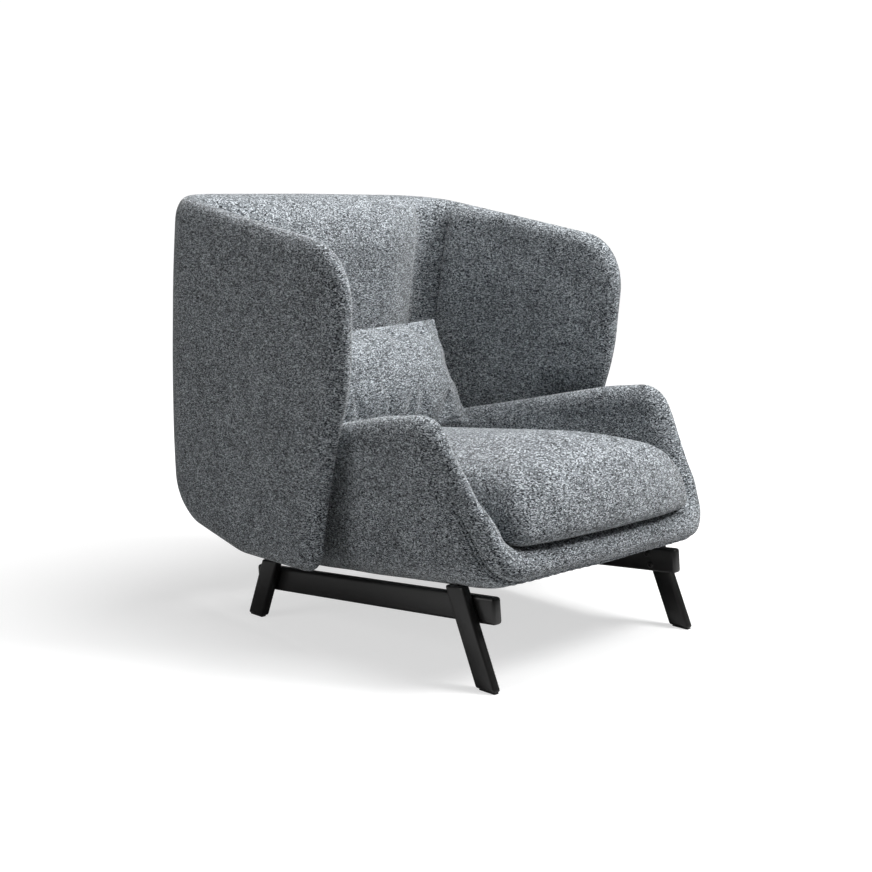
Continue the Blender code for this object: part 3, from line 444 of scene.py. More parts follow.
def make_tweed_group():
    """Melange weave: short lengths of dark, ground and light yarn, each a raised nub."""
    tree, given, out = node_group(
        "Tweed weave",
        (("Vector", "Vector", None), ("Ground", "Color", (0.2, 0.2, 0.2, 1)),
         ("Dark Yarn", "Color", (0.02, 0.02, 0.02, 1)),
         ("Light Yarn", "Color", (0.6, 0.6, 0.6, 1)),
         ("Yarns per Metre", "Float", 400.0), ("Drift", "Float", 0.15)),
        (("Color", "Color"), ("Roughness", "Float"), ("Height", "Float")))
    vector = given.outputs["Vector"]
    wander = add_node(tree, "TexNoise", {"Vector": vector, "Scale": 60.0, "Detail": 1.0})
    shift = add_node(tree, "VectorMath", {0: wander.outputs["Color"], 1: (0.004,) * 3},
                     operation="MULTIPLY")
    bent = add_node(tree, "VectorMath", {0: vector, 1: shift.outputs[0]}, operation="ADD")
    laid = add_node(tree, "Mapping", {"Vector": bent.outputs[0], "Scale": (0.62, 0.62, 1.35)})
    yarn = add_node(tree, "TexVoronoi", {"Vector": laid.outputs[0],
                                         "Scale": given.outputs["Yarns per Metre"]})
    pick = add_node(tree, "SeparateColor", {0: yarn.outputs["Color"]})
    dark = ramp(tree, pick.outputs[0], ((0.0, 1.0), (0.27, 1.0), (0.36, 0.0)))
    light = ramp(tree, pick.outputs[1], ((0.0, 0.0), (0.62, 0.0), (0.76, 1.0)))
    finer = arithmetic(tree, "MULTIPLY", given.outputs["Yarns per Metre"], 2.6)
    fibre = add_node(tree, "TexNoise", {"Vector": laid.outputs[0], "Scale": finer, "Detail": 2.0,
                                        "Roughness": 0.7})
    ground = mixed(tree, light, given.outputs["Ground"], given.outputs["Light Yarn"])
    yarns = mixed(tree, dark, ground, given.outputs["Dark Yarn"])
    patch = add_node(tree, "TexNoise", {"Vector": vector, "Scale": 14.0, "Detail": 3.0})
    clump = add_node(tree, "TexNoise", {"Vector": laid.outputs[0], "Scale": 120.0, "Detail": 2.0})
    uneven = arithmetic(tree, "ADD", arithmetic(tree, "SUBTRACT", patch.outputs[0], 0.5),
                        arithmetic(tree, "SUBTRACT", clump.outputs[0], 0.5))
    drift = arithmetic(tree, "MULTIPLY", uneven, given.outputs["Drift"])
    level = arithmetic(tree, "ADD", drift, arithmetic(tree, "ADD", 0.62, arithmetic(
        tree, "MULTIPLY", fibre.outputs[0], 0.76)))
    tinted = add_node(tree, "VectorMath", {0: yarns, "Scale": level}, operation="SCALE")
    tree.links.new(tinted.outputs[0], out.inputs["Color"])
    rough = arithmetic(tree, "ADD", 0.80, arithmetic(tree, "MULTIPLY", fibre.outputs[0], 0.22))
    tree.links.new(rough, out.inputs["Roughness"])
    nub = arithmetic(tree, "SUBTRACT", 1.0, yarn.outputs["Distance"])
    hair = arithmetic(tree, "MULTIPLY", fibre.outputs[0], 0.5)
    tree.links.new(arithmetic(tree, "ADD", nub, hair), out.inputs["Height"])
    return tree


def make_grain_group():
    """Wood grain along one stretched direction, with pores and a slow change of tone."""
    tree, given, out = node_group(
        "Wood grain",
        (("Vector", "Vector", None), ("Stretch", "Vector", (1.0, 1.0, 1.0)),
         ("Fineness", "Float", 60.0)),
        (("Grain", "Float"), ("Pores", "Float"), ("Tone", "Float")))
    laid = add_node(tree, "Mapping", {"Vector": given.outputs["Vector"],
                                      "Scale": given.outputs["Stretch"]})
    grain = add_node(tree, "TexNoise", {"Vector": laid.outputs[0],
                                        "Scale": given.outputs["Fineness"], "Detail": 6.0,
                                        "Roughness": 0.65, "Distortion": 0.6})
    finer = arithmetic(tree, "MULTIPLY", given.outputs["Fineness"], 6.0)
    pores = add_node(tree, "TexNoise", {"Vector": laid.outputs[0], "Scale": finer, "Detail": 2.0})
    tone = add_node(tree, "TexNoise", {"Vector": given.outputs["Vector"], "Scale": 5.0})
    tree.links.new(grain.outputs[0], out.inputs["Grain"])
    tree.links.new(ramp(tree, pores.outputs[0], ((0.30, 0.0), (0.46, 1.0))), out.inputs["Pores"])
    tree.links.new(tone.outputs[0], out.inputs["Tone"])
    return tree


def new_material(name, **sockets):
    """A material whose shader sockets are set straight away; returns it, its tree and shader."""
    made = bpy.data.materials.new(name)
    made.use_nodes = True
    shader = made.node_tree.nodes["Principled BSDF"]
    for label, value in sockets.items():
        shader.inputs[label.replace("_", " ")].default_value = value
    return made, made.node_tree, shader


def coordinates(tree):
    return add_node(tree, "TexCoord").outputs["Object"]


def spread(tree, value, low, high):
    """A value of 0 to 1 spread over low to high."""
    return arithmetic(tree, "ADD", low, arithmetic(tree, "MULTIPLY", value, high - low))


def paint(tree, shader, colour, roughness):
    tree.links.new(colour, shader.inputs["Base Color"])
    tree.links.new(roughness, shader.inputs["Roughness"])


def with_bump(tree, shader, height, strength, distance):
    bump = add_node(tree, "Bump", {"Strength": strength, "Distance": distance, "Height": height})
    tree.links.new(bump.outputs[0], shader.inputs["Normal"])


def make_tweed(name, group, ground, dark, light, drift):
    made, tree, shader = new_material(name, Sheen_Weight=0.35, Sheen_Roughness=0.45,
                                      Specular_IOR_Level=0.15)
    weave = add_node(tree, "Group", node_tree=group)
    tree.links.new(coordinates(tree), weave.inputs["Vector"])
    for label, colour in (("Ground", ground), ("Dark Yarn", dark), ("Light Yarn", light)):
        weave.inputs[label].default_value = (*colour, 1.0)
    weave.inputs["Yarns per Metre"].default_value = YARNS_PER_METRE
    weave.inputs["Drift"].default_value = drift
    paint(tree, shader, weave.outputs["Color"], weave.outputs["Roughness"])
    with_bump(tree, shader, weave.outputs["Height"], 0.85, 0.0011)
    return made


def make_wood(name, group, dark, light, stretch, fineness, roughness, relief, **sockets):
    made, tree, shader = new_material(name, **sockets)
    grain = add_node(tree, "Group", node_tree=group)
    tree.links.new(coordinates(tree), grain.inputs["Vector"])
    grain.inputs["Stretch"].default_value = stretch
    grain.inputs["Fineness"].default_value = fineness
    tone = arithmetic(tree, "ADD", arithmetic(tree, "MULTIPLY", grain.outputs["Grain"], 0.7),
                      arithmetic(tree, "MULTIPLY", grain.outputs["Tone"], 0.3))
    paint(tree, shader, mixed(tree, tone, (*dark, 1.0), (*light, 1.0)),
          spread(tree, grain.outputs["Grain"], *roughness))
    height = arithmetic(tree, "ADD", arithmetic(tree, "MULTIPLY", grain.outputs["Grain"], 0.4),
                        arithmetic(tree, "MULTIPLY", grain.outputs["Pores"], 0.6))
    with_bump(tree, shader, height, relief, 0.0004)
    return made


def make_foam():
    made, tree, shader = new_material("Seat foam", Subsurface_Weight=0.1)
    vector = coordinates(tree)
    cells = add_node(tree, "TexVoronoi", {"Vector": vector, "Scale": 900.0})
    age = add_node(tree, "TexNoise", {"Vector": vector, "Scale": 12.0, "Detail": 3.0})
    paint(tree, shader, mixed(tree, age.outputs[0], (0.66, 0.57, 0.38, 1),
                              (0.78, 0.73, 0.58, 1)), spread(tree, age.outputs[0], 0.8, 1.0))
    with_bump(tree, shader, cells.outputs["Distance"], 0.6, 0.0008)
    return made


def make_webbing():
    made, tree, shader = new_material("Seat webbing", Specular_IOR_Level=0.3)
    vector = coordinates(tree)
    ribs = [add_node(tree, "TexWave", {"Vector": vector, "Scale": 150.0, "Distortion": 0.4},
                     bands_direction=axis).outputs["Fac"] for axis in ("X", "Y")]
    weave = arithmetic(tree, "MULTIPLY", *ribs)
    paint(tree, shader, mixed(tree, weave, (0.035, 0.035, 0.04, 1), (0.16, 0.16, 0.17, 1)),
          arithmetic(tree, "SUBTRACT", 0.9, arithmetic(tree, "MULTIPLY", weave, 0.15)))
    with_bump(tree, shader, weave, 0.7, 0.0006)
    return made


def make_fine(name, colours, roughness, scale, **sockets):
    """A plain moulded or metal finish with fine marks and uneven gloss."""
    made, tree, shader = new_material(name, **sockets)
    vector = coordinates(tree)
    marks = add_node(tree, "TexNoise", {"Vector": vector, "Scale": scale, "Detail": 5.0})
    slow = add_node(tree, "TexNoise", {"Vector": vector, "Scale": scale / 20, "Detail": 2.0})
    paint(tree, shader, mixed(tree, slow.outputs[0], *((*c, 1.0) for c in colours)),
          spread(tree, marks.outputs[0], *roughness))
    with_bump(tree, shader, marks.outputs[0], 0.2, 0.0003)
    return made


YARNS_PER_METRE = 540.0
TWEED = make_tweed_group()
GRAIN = make_grain_group()
TWEED_COVER = make_tweed("Blue grey melange tweed", TWEED, (0.172, 0.190, 0.204),
                         (0.010, 0.012, 0.015), (0.52, 0.555, 0.585), 0.55)
# The welt's tweed is a darker copy of the cover's: painted shade for the grooves along the welt.
SHADED_WELT_TWEED = make_tweed("Tweed welt, painted shade", TWEED, (0.165, 0.182, 0.197), (0.010, 0.012, 0.015),
                        (0.44, 0.47, 0.495), 0.50)
BLACK_STAIN = make_wood("Black stained wood", GRAIN, (0.006, 0.006, 0.006),
                        (0.017, 0.016, 0.016), (1.0, 0.12, 0.12), 90.0, (0.24, 0.42), 0.25,
                        Coat_Weight=0.25, Coat_Roughness=0.22)
PLYWOOD = make_wood("Birch plywood", GRAIN, (0.42, 0.29, 0.16), (0.68, 0.53, 0.35),
                    (0.2, 1.0, 3.0), 45.0, (0.5, 0.7), 0.4)
TIMBER = make_wood("Pine rail", GRAIN, (0.46, 0.31, 0.16), (0.76, 0.61, 0.38),
                   (1.0, 0.15, 1.0), 35.0, (0.5, 0.75), 0.4)
FOAM = make_foam()
WEBBING = make_webbing()
STEEL = make_fine("Zinc plated steel", ((0.46, 0.46, 0.45), (0.62, 0.62, 0.60)), (0.24, 0.42),
                  700.0, Metallic=1.0)
BLACK_BOLT = make_fine("Blackened steel", ((0.018, 0.018, 0.018), (0.035, 0.034, 0.033)),
                       (0.35, 0.50), 600.0, Metallic=0.6)
NYLON = make_fine("Black nylon", ((0.020, 0.020, 0.021), (0.034, 0.034, 0.036)), (0.40, 0.58),
                  500.0)


# ---------------------------------------------------------------- wing shell
def shell_curve():
    """The shell's plan as samples of length, x, y and heading."""
    s = np.linspace(0, SHELL_BACK_HALF + SHELL_CORNER * SHELL_CORNER_TURN + SHELL_SIDE, 3000)
    lengths = np.cumsum((0, SHELL_BACK_HALF, SHELL_CORNER * SHELL_CORNER_TURN, SHELL_SIDE))
    turns = np.cumsum((0, SHELL_BACK_TURN, SHELL_CORNER_TURN, SHELL_SIDE_TURN))
    heading = np.interp(s, lengths, turns)
    middle = (heading[1:] + heading[:-1]) / 2
    step = s[1]
    x = np.concatenate(([0], np.cumsum(np.cos(middle)) * step))
    y = SHELL_BACK_Y - np.concatenate(([0], np.cumsum(np.sin(middle)) * step))
    return s, x, y, heading


SHELL_CURVE = shell_curve()


def shell_place(points, offset):
    """Points at (plan length, height) of the shell, offset towards the sitter."""
    s, z = np.abs(points[..., 0]), points[..., 1]
    x, y, heading = (np.interp(s, SHELL_CURVE[0], values) for values in SHELL_CURVE[1:])
    x = x * (1 + SHELL_FLARE * (z - SHELL_FLARE_Z)) - np.sin(heading) * offset
    y = y - SHELL_BULGE * (z - SHELL_BULGE_Z) ** 2 - np.cos(heading) * offset
    return np.stack((np.where(points[..., 0] < 0, -x, x), y, z), axis=-1)


def pad_fullness(s):
    """How far the inner pads stand out beyond the shell's edge thickness."""
    back = (BACK_PAD_EXTRA - WING_PAD_EXTRA) * (1 - smooth_step(s, BACK_PAD_FLAT_TO, PAD_SEAM_S))
    return back + WING_PAD_EXTRA * (1 - smooth_step(s, PAD_SEAM_S, WING_PAD_TO))


def crease_drop(s):
    """How far a pad dives towards the crease that it shares with its neighbour."""
    depth, reach = (np.where(s < PAD_SEAM_S, back, wing)
                    for back, wing in zip(BACK_CREASE, WING_CREASE))
    return depth * (1 - rounding(np.abs(s - PAD_SEAM_S), reach))


def shell_skin(points, depth, inside):
    """The outer or the inner face of the padded shell."""
    s = np.abs(points[..., 0])
    reach = SHELL_ROUND if inside else SHELL_ROUND_OUT
    half = SHELL_THICK / 2 * rounding(depth, reach) + SEAM_HALF
    beside_arm = smooth_step(s, *THIN_FROM_S) * (1 - smooth_step(points[..., 1], *THIN_BELOW_Z))
    if not inside:
        soft = 0.0015 * ripple(shell_place(points, 0.0), 0.16, 3.0) * rounding(depth, 0.06)
        return shell_place(points, -half + soft)
    full = pad_fullness(s) * rounding(depth, FULLNESS_REACH) - crease_drop(s)
    soft = 0.0028 * ripple(shell_place(points, 0.0), 0.13, 9.0) * rounding(depth, 0.08)
    half_here = half * (1 - THIN_SHARE * beside_arm)
    return shell_place(points, half_here + np.maximum(full, -half * 0.6) + soft)


def shell_middle(points, depth, sign):
    """The hidden face against the core, closing on the seam along the rim."""
    inner = np.minimum(SHELL_CORE_HALF, SHELL_THICK / 2 * rounding(depth, SHELL_ROUND_OUT) * 0.3)
    return shell_place(points, sign * (inner + SEAM_HALF / 2))


def make_shell():
    panel = Panel(SHELL_OUTLINE, 4, 6, PAD_SEAM_S)
    rows = graded(0.668, True, True)
    u = panel.across()[:, None]
    points, depth = panel.grid(u, rows)
    cover = padded_body(shell_skin(points, depth, False), shell_middle(points, depth, -1))
    cover = new_piece("shell_cover", cover, TWEED_COVER)
    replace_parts(cover, "shell_outer_cover")
    near_crease = 1 - np.array(RIM_STEPS[::-1]) / PAD_SEAM_S
    back = np.concatenate((panel.across(0, near_crease[0]), near_crease))
    back = np.concatenate((-back[:0:-1], back))
    side = max(panel.bottom[-1, 0], panel.top[-1, 0]) - PAD_SEAM_S
    beyond = 1 + graded(side, True, True)
    spans = (("back_pad", back), ("wing_pad_right", beyond), ("wing_pad_left", -beyond[::-1]))
    for name, columns in spans:
        points, depth = panel.grid(columns[:, None], rows)
        seam = PAD_SEAM_S - SEAM_HALF if name == "back_pad" else PAD_SEAM_S + SEAM_HALF
        drawn = np.abs(points[..., 0])
        drawn = np.minimum(drawn, seam) if name == "back_pad" else np.maximum(drawn, seam)
        points[..., 0] = np.copysign(drawn, points[..., 0])
        pad = padded_body(shell_middle(points, depth, 1), shell_skin(points, depth, True))
        pad = new_piece(name + "_cover", pad, TWEED_COVER)
        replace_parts(pad, name)


# ---------------------------------------------------------------- seat tub
TUB_TURN = np.array(Matrix.Rotation(-RAKE, 3, "X"))


def from_tub(points):
    """Points of the raked tub frame in the chair's frame."""
    return points @ TUB_TURN.T + np.array(TUB_ORIGIN)


def tub_section(s, half_width, radius, floor, level_from):
    """The U section at s along its outside: flat, corner, then a side."""
    flat = half_width - TUB_TUCK - radius
    arc = TUB_CORNER * math.pi / 2
    angle = np.clip((s - TUB_FLAT) / TUB_CORNER, 0, math.pi / 2)
    rise = np.maximum(s - TUB_FLAT - arc, 0)
    low = floor + radius
    level = TUB_CORNER + rise
    climbing = low + (TUB_CORNER + level_from - low) * rise / level_from
    side_z = np.where(rise >= level_from, level, climbing)
    x = np.where(s <= TUB_FLAT, s * flat / TUB_FLAT, flat + radius * np.sin(angle))
    widening = np.minimum(1, rise / TUB_WIDEN_OVER)
    x = np.where(rise > 0, half_width - TUB_TUCK * (1 - widening), x)
    return x, np.where(rise > 0, side_z, floor + radius * (1 - np.cos(angle)))


def tub_place(points, share):
    """Points at (section length, y) of the tub, at a share from outside to inside."""
    s, y = np.abs(points[..., 0]), points[..., 1]
    out_x, out_z = tub_section(s, TUB_HALF_WIDTH, TUB_CORNER, 0.0, 1e-6)
    in_x, in_z = tub_section(s, TUB_HALF_WIDTH - ARM_THICK, TUB_INNER_CORNER, DECK_THICK,
                             ARM_EVEN_FROM)
    taper = 1 - TUB_TAPER * smooth_step(y, TUB_TAPER_FROM, TUB_REAR_Y)
    x = np.copysign((out_x * (1 - share) + in_x * share) * taper, points[..., 0])
    return from_tub(np.stack((x, y, out_z * (1 - share) + in_z * share), axis=-1))


def outer_round(points, depth):
    """The rounding of the tub's outside: long behind the front edge, short along the arm tops."""
    on_arm = smooth_step(np.abs(points[..., 0]), *TUB_ROUND_ARM)
    return rounding(depth, TUB_ROUND_FRONT + (TUB_ROUND - TUB_ROUND_FRONT) * on_arm)


def tub_skin(points, depth, inside):
    round_share = rounding(depth, TUB_ROUND) if inside else outer_round(points, depth)
    half = 0.5 * round_share + 0.004
    soft = 0.020 * ripple(tub_place(points, 0.0), 0.12, 5.0) * rounding(depth, 0.08)
    return tub_place(points, 0.5 + half + soft if inside else 0.5 - half + soft)


def band_rows(u, front, arm, length):
    """Row where the band's seam runs, from its distance behind the front edge."""
    away = front + (arm - front) * smooth_step(np.abs(u), 1.0, 1.45)
    return 1 - away / length


def make_tub():
    panel = Panel(TUB_OUTLINE, 1, 3, TUB_FLAT, free=1)
    u = panel.across()[:, None]
    lengths = np.linalg.norm(panel.at(np.abs(u), 0.0) - panel.at(np.abs(u), 1.0), axis=-1)
    seam = band_rows(u, BAND_SEAM_FRONT, BAND_SEAM_ARM, lengths)
    behind = np.concatenate(((0, 0.004, 0.009), np.linspace(TUB_REAR_WRAP, 0.975, 80),
                             (0.982, 0.988, 0.992, 0.996, 1)))[None]
    points, depth = panel.grid(u, behind * (seam - PANEL_SLIT))
    behind_rear = smooth_step(behind, 0.004, TUB_REAR_WRAP)
    hidden = tub_place(points, 0.499 - COVER_SHARE * outer_round(points, depth) * behind_rear)
    skin = tub_skin(points, depth, False)
    dip = seam_dip((1 - behind) * seam * lengths, u)
    cover = padded_body(skin + (tub_place(points, 0.5) - skin) * dip, hidden)
    cover = new_piece("tub_cover", cover, TWEED_COVER)
    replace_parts(cover, "tub_outer_cover")
    make_tub_core(panel, lengths)
    make_band(panel, u, lengths, seam)
    make_welt(panel, lengths, seam)
    for side, sign in (("left", -1), ("right", 1)):
        columns = sign * panel.across(1.0)[:: sign]
        lengths_here = np.interp(np.abs(columns), panel.columns, lengths[len(lengths) // 2 :, 0])
        reach = (1 - BAND_INSIDE / lengths_here)[:, None] - PANEL_SLIT
        rows = np.linspace(0, 1, 84)[None]
        points, depth = panel.grid(columns[:, None], rows * reach)
        hidden = tub_place(points, 0.501 - PAD_IN_SHARE * rounding(depth, TUB_ROUND))
        pad = padded_body(hidden, tub_skin(points, depth, True))
        pad = new_piece(f"arm_pad_{side}_cover", pad, TWEED_COVER)
        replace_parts(pad, f"arm_pad_{side}")


def make_tub_core(panel, lengths):
    """The bent plywood inside the tub, well inside its padded edges."""
    u = panel.across(None, 1.86)[:, None]
    lengths = np.interp(np.abs(u), panel.columns, lengths[len(lengths) // 2 :, 0])
    rows = np.linspace(TUB_REAR_WRAP, 1, 60)[None] * (1 - TUB_CORE_SHORT / lengths)
    points, depth = panel.grid(u, rows)
    core = padded_body(tub_place(points, 0.5 - CORE_OUT_SHARE * outer_round(points, depth)),
                       tub_place(points, 0.5 - CORE_IN_SHARE * outer_round(points, depth)))
    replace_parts(new_piece("tub_core_ply", core, PLYWOOD), "tub_core")


def seam_dip(away, u):
    """Share by which the padding is drawn in at the welt, by the distance from its seam."""
    fade = 1 - smooth_step(np.abs(u), 1.3, 1.9)
    return (SEAM_DIP * np.exp(-(away / SEAM_DIP_REACH) ** 2) * fade)[..., None]


def make_band(panel, u, lengths, seam):
    """The band that wraps the front edge of the seat and of both arms."""
    across = graded(0.06, False, True, 0.006)
    across = np.concatenate(((0, 0.06, 0.12, 0.20, 0.30), across[across > 0.36]))[None]
    outer_rows = seam + (1 - seam) * across
    inner_rows = (1 - BAND_INSIDE / lengths) + BAND_INSIDE / lengths * across
    faces = []
    for rows, inside in ((outer_rows, False), (inner_rows, True)):
        points, depth = panel.grid(u, rows)
        skin = tub_skin(points, depth, inside)
        if not inside:
            dip = seam_dip((rows - seam) * lengths, u)
            skin += (tub_place(points, 0.5) - skin) * dip
        faces.append(skin)
    band = new_piece("front_band_cover", padded_body(*faces), TWEED_COVER)
    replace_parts(band, "front_band")


def make_welt(panel, lengths, seam):
    """The raised double welt over the band's seam, dying out on the arms."""
    u = panel.across(None, 1.93)[:, None]
    here = np.interp(np.abs(u[:, 0]), panel.columns, seam[len(seam) // 2 :, 0])[:, None]
    step = 0.004 / np.interp(np.abs(u[:, 0]), panel.columns, lengths[len(seam) // 2 :, 0])[:, None]
    rows = np.concatenate((here - step, here, here + step), axis=1)
    points, depth = panel.grid(u, rows)
    skin = tub_skin(points, depth, False)
    path = skin[:, 1]
    across = skin[:, 2] - skin[:, 0]
    across /= np.linalg.norm(across, axis=1, keepdims=True)
    run = np.gradient(path, axis=0)
    up = np.cross(across, run)
    up /= np.linalg.norm(up, axis=1, keepdims=True)
    outward = path - tub_place(points, 0.7)[:, 1]
    up *= np.sign((up * outward).sum(1, keepdims=True))
    fade = (1 - smooth_step(np.abs(u[:, 0]), 1.25, 1.9))[:, None]
    profile = [(-0.0084, -0.0030), (-0.0080, 0.0010), (-0.0062, 0.0034), (-0.0040, 0.0038),
               (-0.0020, 0.0026), (0, -0.0014), (0.0020, 0.0026), (0.0040, 0.0038),
               (0.0062, 0.0034), (0.0080, 0.0010), (0.0084, -0.0030)]
    along_welt = np.arange(len(path))
    pucker = 1 + 0.16 * np.sin(along_welt * 1.9)[:, None] * fade
    welt = swept_arrays(profile, path - up * WELT_SUNK, across * (0.55 + 0.45 * fade),
                        up * (0.25 + 0.85 * fade) * pucker)
    # Its darker tweed is painted shade for the grooves along the welt.
    new_piece("band_welt", welt, SHADED_WELT_TWEED, split=80)


def swept_arrays(profile, path, across, up):
    vectors = [[Vector(v) for v in rows.tolist()] for rows in (path, across, up)]
    return swept(profile, *vectors)


# ---------------------------------------------------------------- deck, cushion and pillow
def closed_grid(panel, rows, shape, shape_under):
    """A closed cushion over the whole panel between two height functions of points, depth."""
    points, depth = panel.grid(panel.across()[:, None], rows)
    return padded_body(shape_under(points, depth), shape(points, depth)), depth


def make_deck_cover():
    """The foam pad on the webbing."""
    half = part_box("deck_pad")[1][0]
    outline = ((0, DECK_FRONT_Y, 0), (half, DECK_FRONT_Y, DECK_ROUND),
               (half, DECK_REAR_Y, DECK_ROUND), (0, DECK_REAR_Y, 0))
    panel = Panel(outline, 1, 2, half * 0.5, step=DECK_STEP)
    base = DECK_THICK * CORE_SHARE + DECK_BASE
    top = DECK_THICK - DECK_GAP

    def level(points, z):
        return from_tub(np.stack((points[..., 0], points[..., 1], z), axis=-1))

    def over(points, depth):
        return level(points, base + (top - base) * rounding(depth, DECK_ROUND, 0.35))

    def under(points, depth):
        return level(points, base + 0 * depth)

    rows = graded(DECK_REAR_Y - DECK_FRONT_Y, True, True, DECK_STEP)
    deck = new_piece("deck_cover", closed_grid(panel, rows, over, under)[0], FOAM)
    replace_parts(deck, "deck_pad")


def make_deck_lining():
    """Cloth stapled over the deck's rear timber, seen from behind under the back."""
    low, high = (np.array(corner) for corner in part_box("deck_frame_rear"))
    width, rise = high[0] - low[0], high[2] - low[2] + LINING_RISE
    x, z = np.meshgrid(low[0] + width * graded(width, True, True),
                       low[2] + rise * graded(rise, True, True), indexing="ij")
    edge = np.minimum(np.minimum(x - low[0], low[0] + width - x),
                      np.minimum(z - low[2], low[2] + rise - z))
    back = high[1] + LINING_GAP
    bulge = back + LINING_RIM + LINING_THICK * rounding(edge, LINING_ROUND)
    body = padded_body(np.stack((x, np.full_like(x, back), z), axis=-1),
                       np.stack((x, bulge, z), axis=-1))
    new_piece("deck_lining", body, TWEED_COVER)


def make_seat_cushion():
    half = CUSHION_HALF_WIDTH - CUSHION_SLACK
    rear, front = CUSHION_REAR_Y - CUSHION_SLACK, CUSHION_FRONT_Y + CUSHION_SLACK
    outline = ((0, front - CUSHION_BOW, 0), (half * 0.6, front - CUSHION_BOW * 0.8, 0.5),
               (half, front, CUSHION_CORNER), (half, rear, CUSHION_CORNER), (0, rear, 0))
    panel = Panel(outline, 2, 3, half * 0.5, step=0.012)
    floor = DECK_THICK + 0.001

    def placed(points, z):
        taper = 1 - TUB_TAPER * smooth_step(points[..., 1], TUB_TAPER_FROM, TUB_REAR_Y)
        return from_tub(np.stack((points[..., 0] * taper, points[..., 1], z), axis=-1))

    def over(points, depth):
        inward = np.minimum(1, depth / half)
        z = floor + CUSHION_SEAM + (CUSHION_EDGE - CUSHION_SEAM) * rounding(depth, CUSHION_ROUND)
        return placed(points, z + CUSHION_CROWN * (1 - (1 - inward) ** 2))

    def under(points, depth):
        return placed(points, floor + CUSHION_SEAM * (1 - rounding(depth, 0.03)))

    body, depth = closed_grid(panel, graded(rear - front, True, True, 0.012), over, under)
    cushion = new_piece("seat_cushion_cover", body, TWEED_COVER, split=180)
    flat = depth.ravel()
    held = np.concatenate((np.ones(flat.shape, bool), flat < 0.002))
    inflate(cushion, 3.5, 0.018, 0.012, held)
    subdivided(cushion)
    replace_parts(cushion, "seat_cushion_lower_cover", "seat_cushion_core",
                "seat_cushion_upper_cover")


def make_pillow():
    half, tall = PILLOW_WIDTH / 2, PILLOW_HEIGHT / 2
    outline = ((0, -tall, 0), (half, -tall, 0.012), (half, tall, 0.012), (0, tall, 0))
    panel = Panel(outline, 1, 2, half * 0.5, step=0.009)
    turn = np.array(Matrix.Rotation(-PILLOW_LEAN, 3, "X"))

    def placed(points, out):
        x, z = points[..., 0], points[..., 1]
        drawn_x = x * (1 - PILLOW_PULL / half * (1 - (z / tall) ** 2) * np.abs(x / half) ** 3)
        drawn_z = z * (1 - PILLOW_PULL / tall * (1 - (x / half) ** 2) * np.abs(z / tall) ** 3)
        return np.stack((drawn_x, out, drawn_z), axis=-1) @ turn.T + np.array(PILLOW_PLACE)

    def fullness(points):
        across = np.clip(1 - (points[..., 0] / half) ** 2, 0, 1)
        upright = np.clip(1 - (points[..., 1] / tall) ** 2, 0, 1)
        return (PILLOW_THICK / 2 - PILLOW_SLACK) * (across * upright) ** 0.55 + 0.0006

    body, depth = closed_grid(panel, graded(2 * tall, True, True, 0.009),
                              lambda points, depth: placed(points, -fullness(points)),
                              lambda points, depth: placed(points, fullness(points)))
    pillow = new_piece("lumbar_pillow_cover", body, TWEED_COVER, split=180)
    flat = depth.ravel()
    held = np.concatenate((flat < 0.002, flat < 0.002))
    inflate(pillow, 4.0, 0.05, 0.014, held)
    subdivided(pillow)
    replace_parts(pillow, "pillow_front_cover", "pillow_filling", "pillow_back_cover")


# ---------------------------------------------------------------- side frames
def to_side_view(y, z):
    """The chair's (Y, Z) of a point of the tub's side view."""
    at = from_tub(np.array((0.0, y, z)))
    return at[1], at[2]


def line_to_tub_level(y_floor, slant, level):
    """Where a leg's edge, from the floor at y_floor, meets a level of the tub's side view."""
    slope = -math.tan(RAKE)
    base_y, base_z = to_side_view(0.0, level)
    z = (base_z + slope * (y_floor - base_y)) / (1 - slope * slant)
    return y_floor + slant * z, z


def leg_outline(y_low, y_high, slant):
    """Side view of a leg, level at its glide and cut along the tub's underside."""
    top = TUB_CORNER - math.sqrt(TUB_CORNER ** 2 - (LEG_OUTER_X - LEG_THICK - TUB_FLAT) ** 2)
    top += LEG_SUNK
    return [(y_low + slant * LEG_FOOT, LEG_FOOT), (y_high + slant * LEG_FOOT, LEG_FOOT),
            line_to_tub_level(y_high, slant, top), line_to_tub_level(y_low, slant, top)]


def eased_bar(outline, x_low, x_high, ease):
    """A bar of wood: a side-view outline along X, all its edges rounded over."""
    bm = bmesh.new()
    rings = [[bm.verts.new((x, y, z)) for y, z in outline] for x in (x_low, x_high)]
    bm.faces.new(rings[0])
    bm.faces.new(rings[1])
    for k in range(len(outline)):
        n = (k + 1) % len(outline)
        bm.faces.new((rings[0][k], rings[0][n], rings[1][n], rings[1][k]))
    bmesh.ops.bevel(bm, geom=bm.edges[:], offset=ease, segments=5, profile=0.5,
                    affect="EDGES", clamp_overlap=True)
    return bm


def make_side_frames():
    legs = {"front": (LEG_FRONT_Y, LEG_FRONT_Y + LEG_WIDTH, FRONT_SLANT),
            "rear": (LEG_REAR_Y - LEG_WIDTH, LEG_REAR_Y, -REAR_SLANT)}
    for side, sign in (("left", -1), ("right", 1)):
        for place, (y_low, y_high, slant) in legs.items():
            inner, outer = sorted((sign * LEG_OUTER_X, sign * (LEG_OUTER_X - LEG_THICK)))
            leg = eased_bar(leg_outline(y_low, y_high, slant), inner, outer, LEG_EASE)
            leg = new_piece(f"leg_{place}_{side}_wood", leg, BLACK_STAIN, split=35)
            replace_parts(leg, f"leg_{place}_{side}")
        low, high = (np.array(corner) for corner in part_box(f"rail_{side}"))
        ends = [(from_tub(np.array((0.0, y, z)))[1:]) for y, z in rail_outline(low, high)]
        rail = eased_bar([tuple(p) for p in ends], low[0], high[0], RAIL_EASE)
        rail = new_piece(f"rail_{side}_wood", rail, BLACK_STAIN, split=35)
        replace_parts(rail, f"rail_{side}")


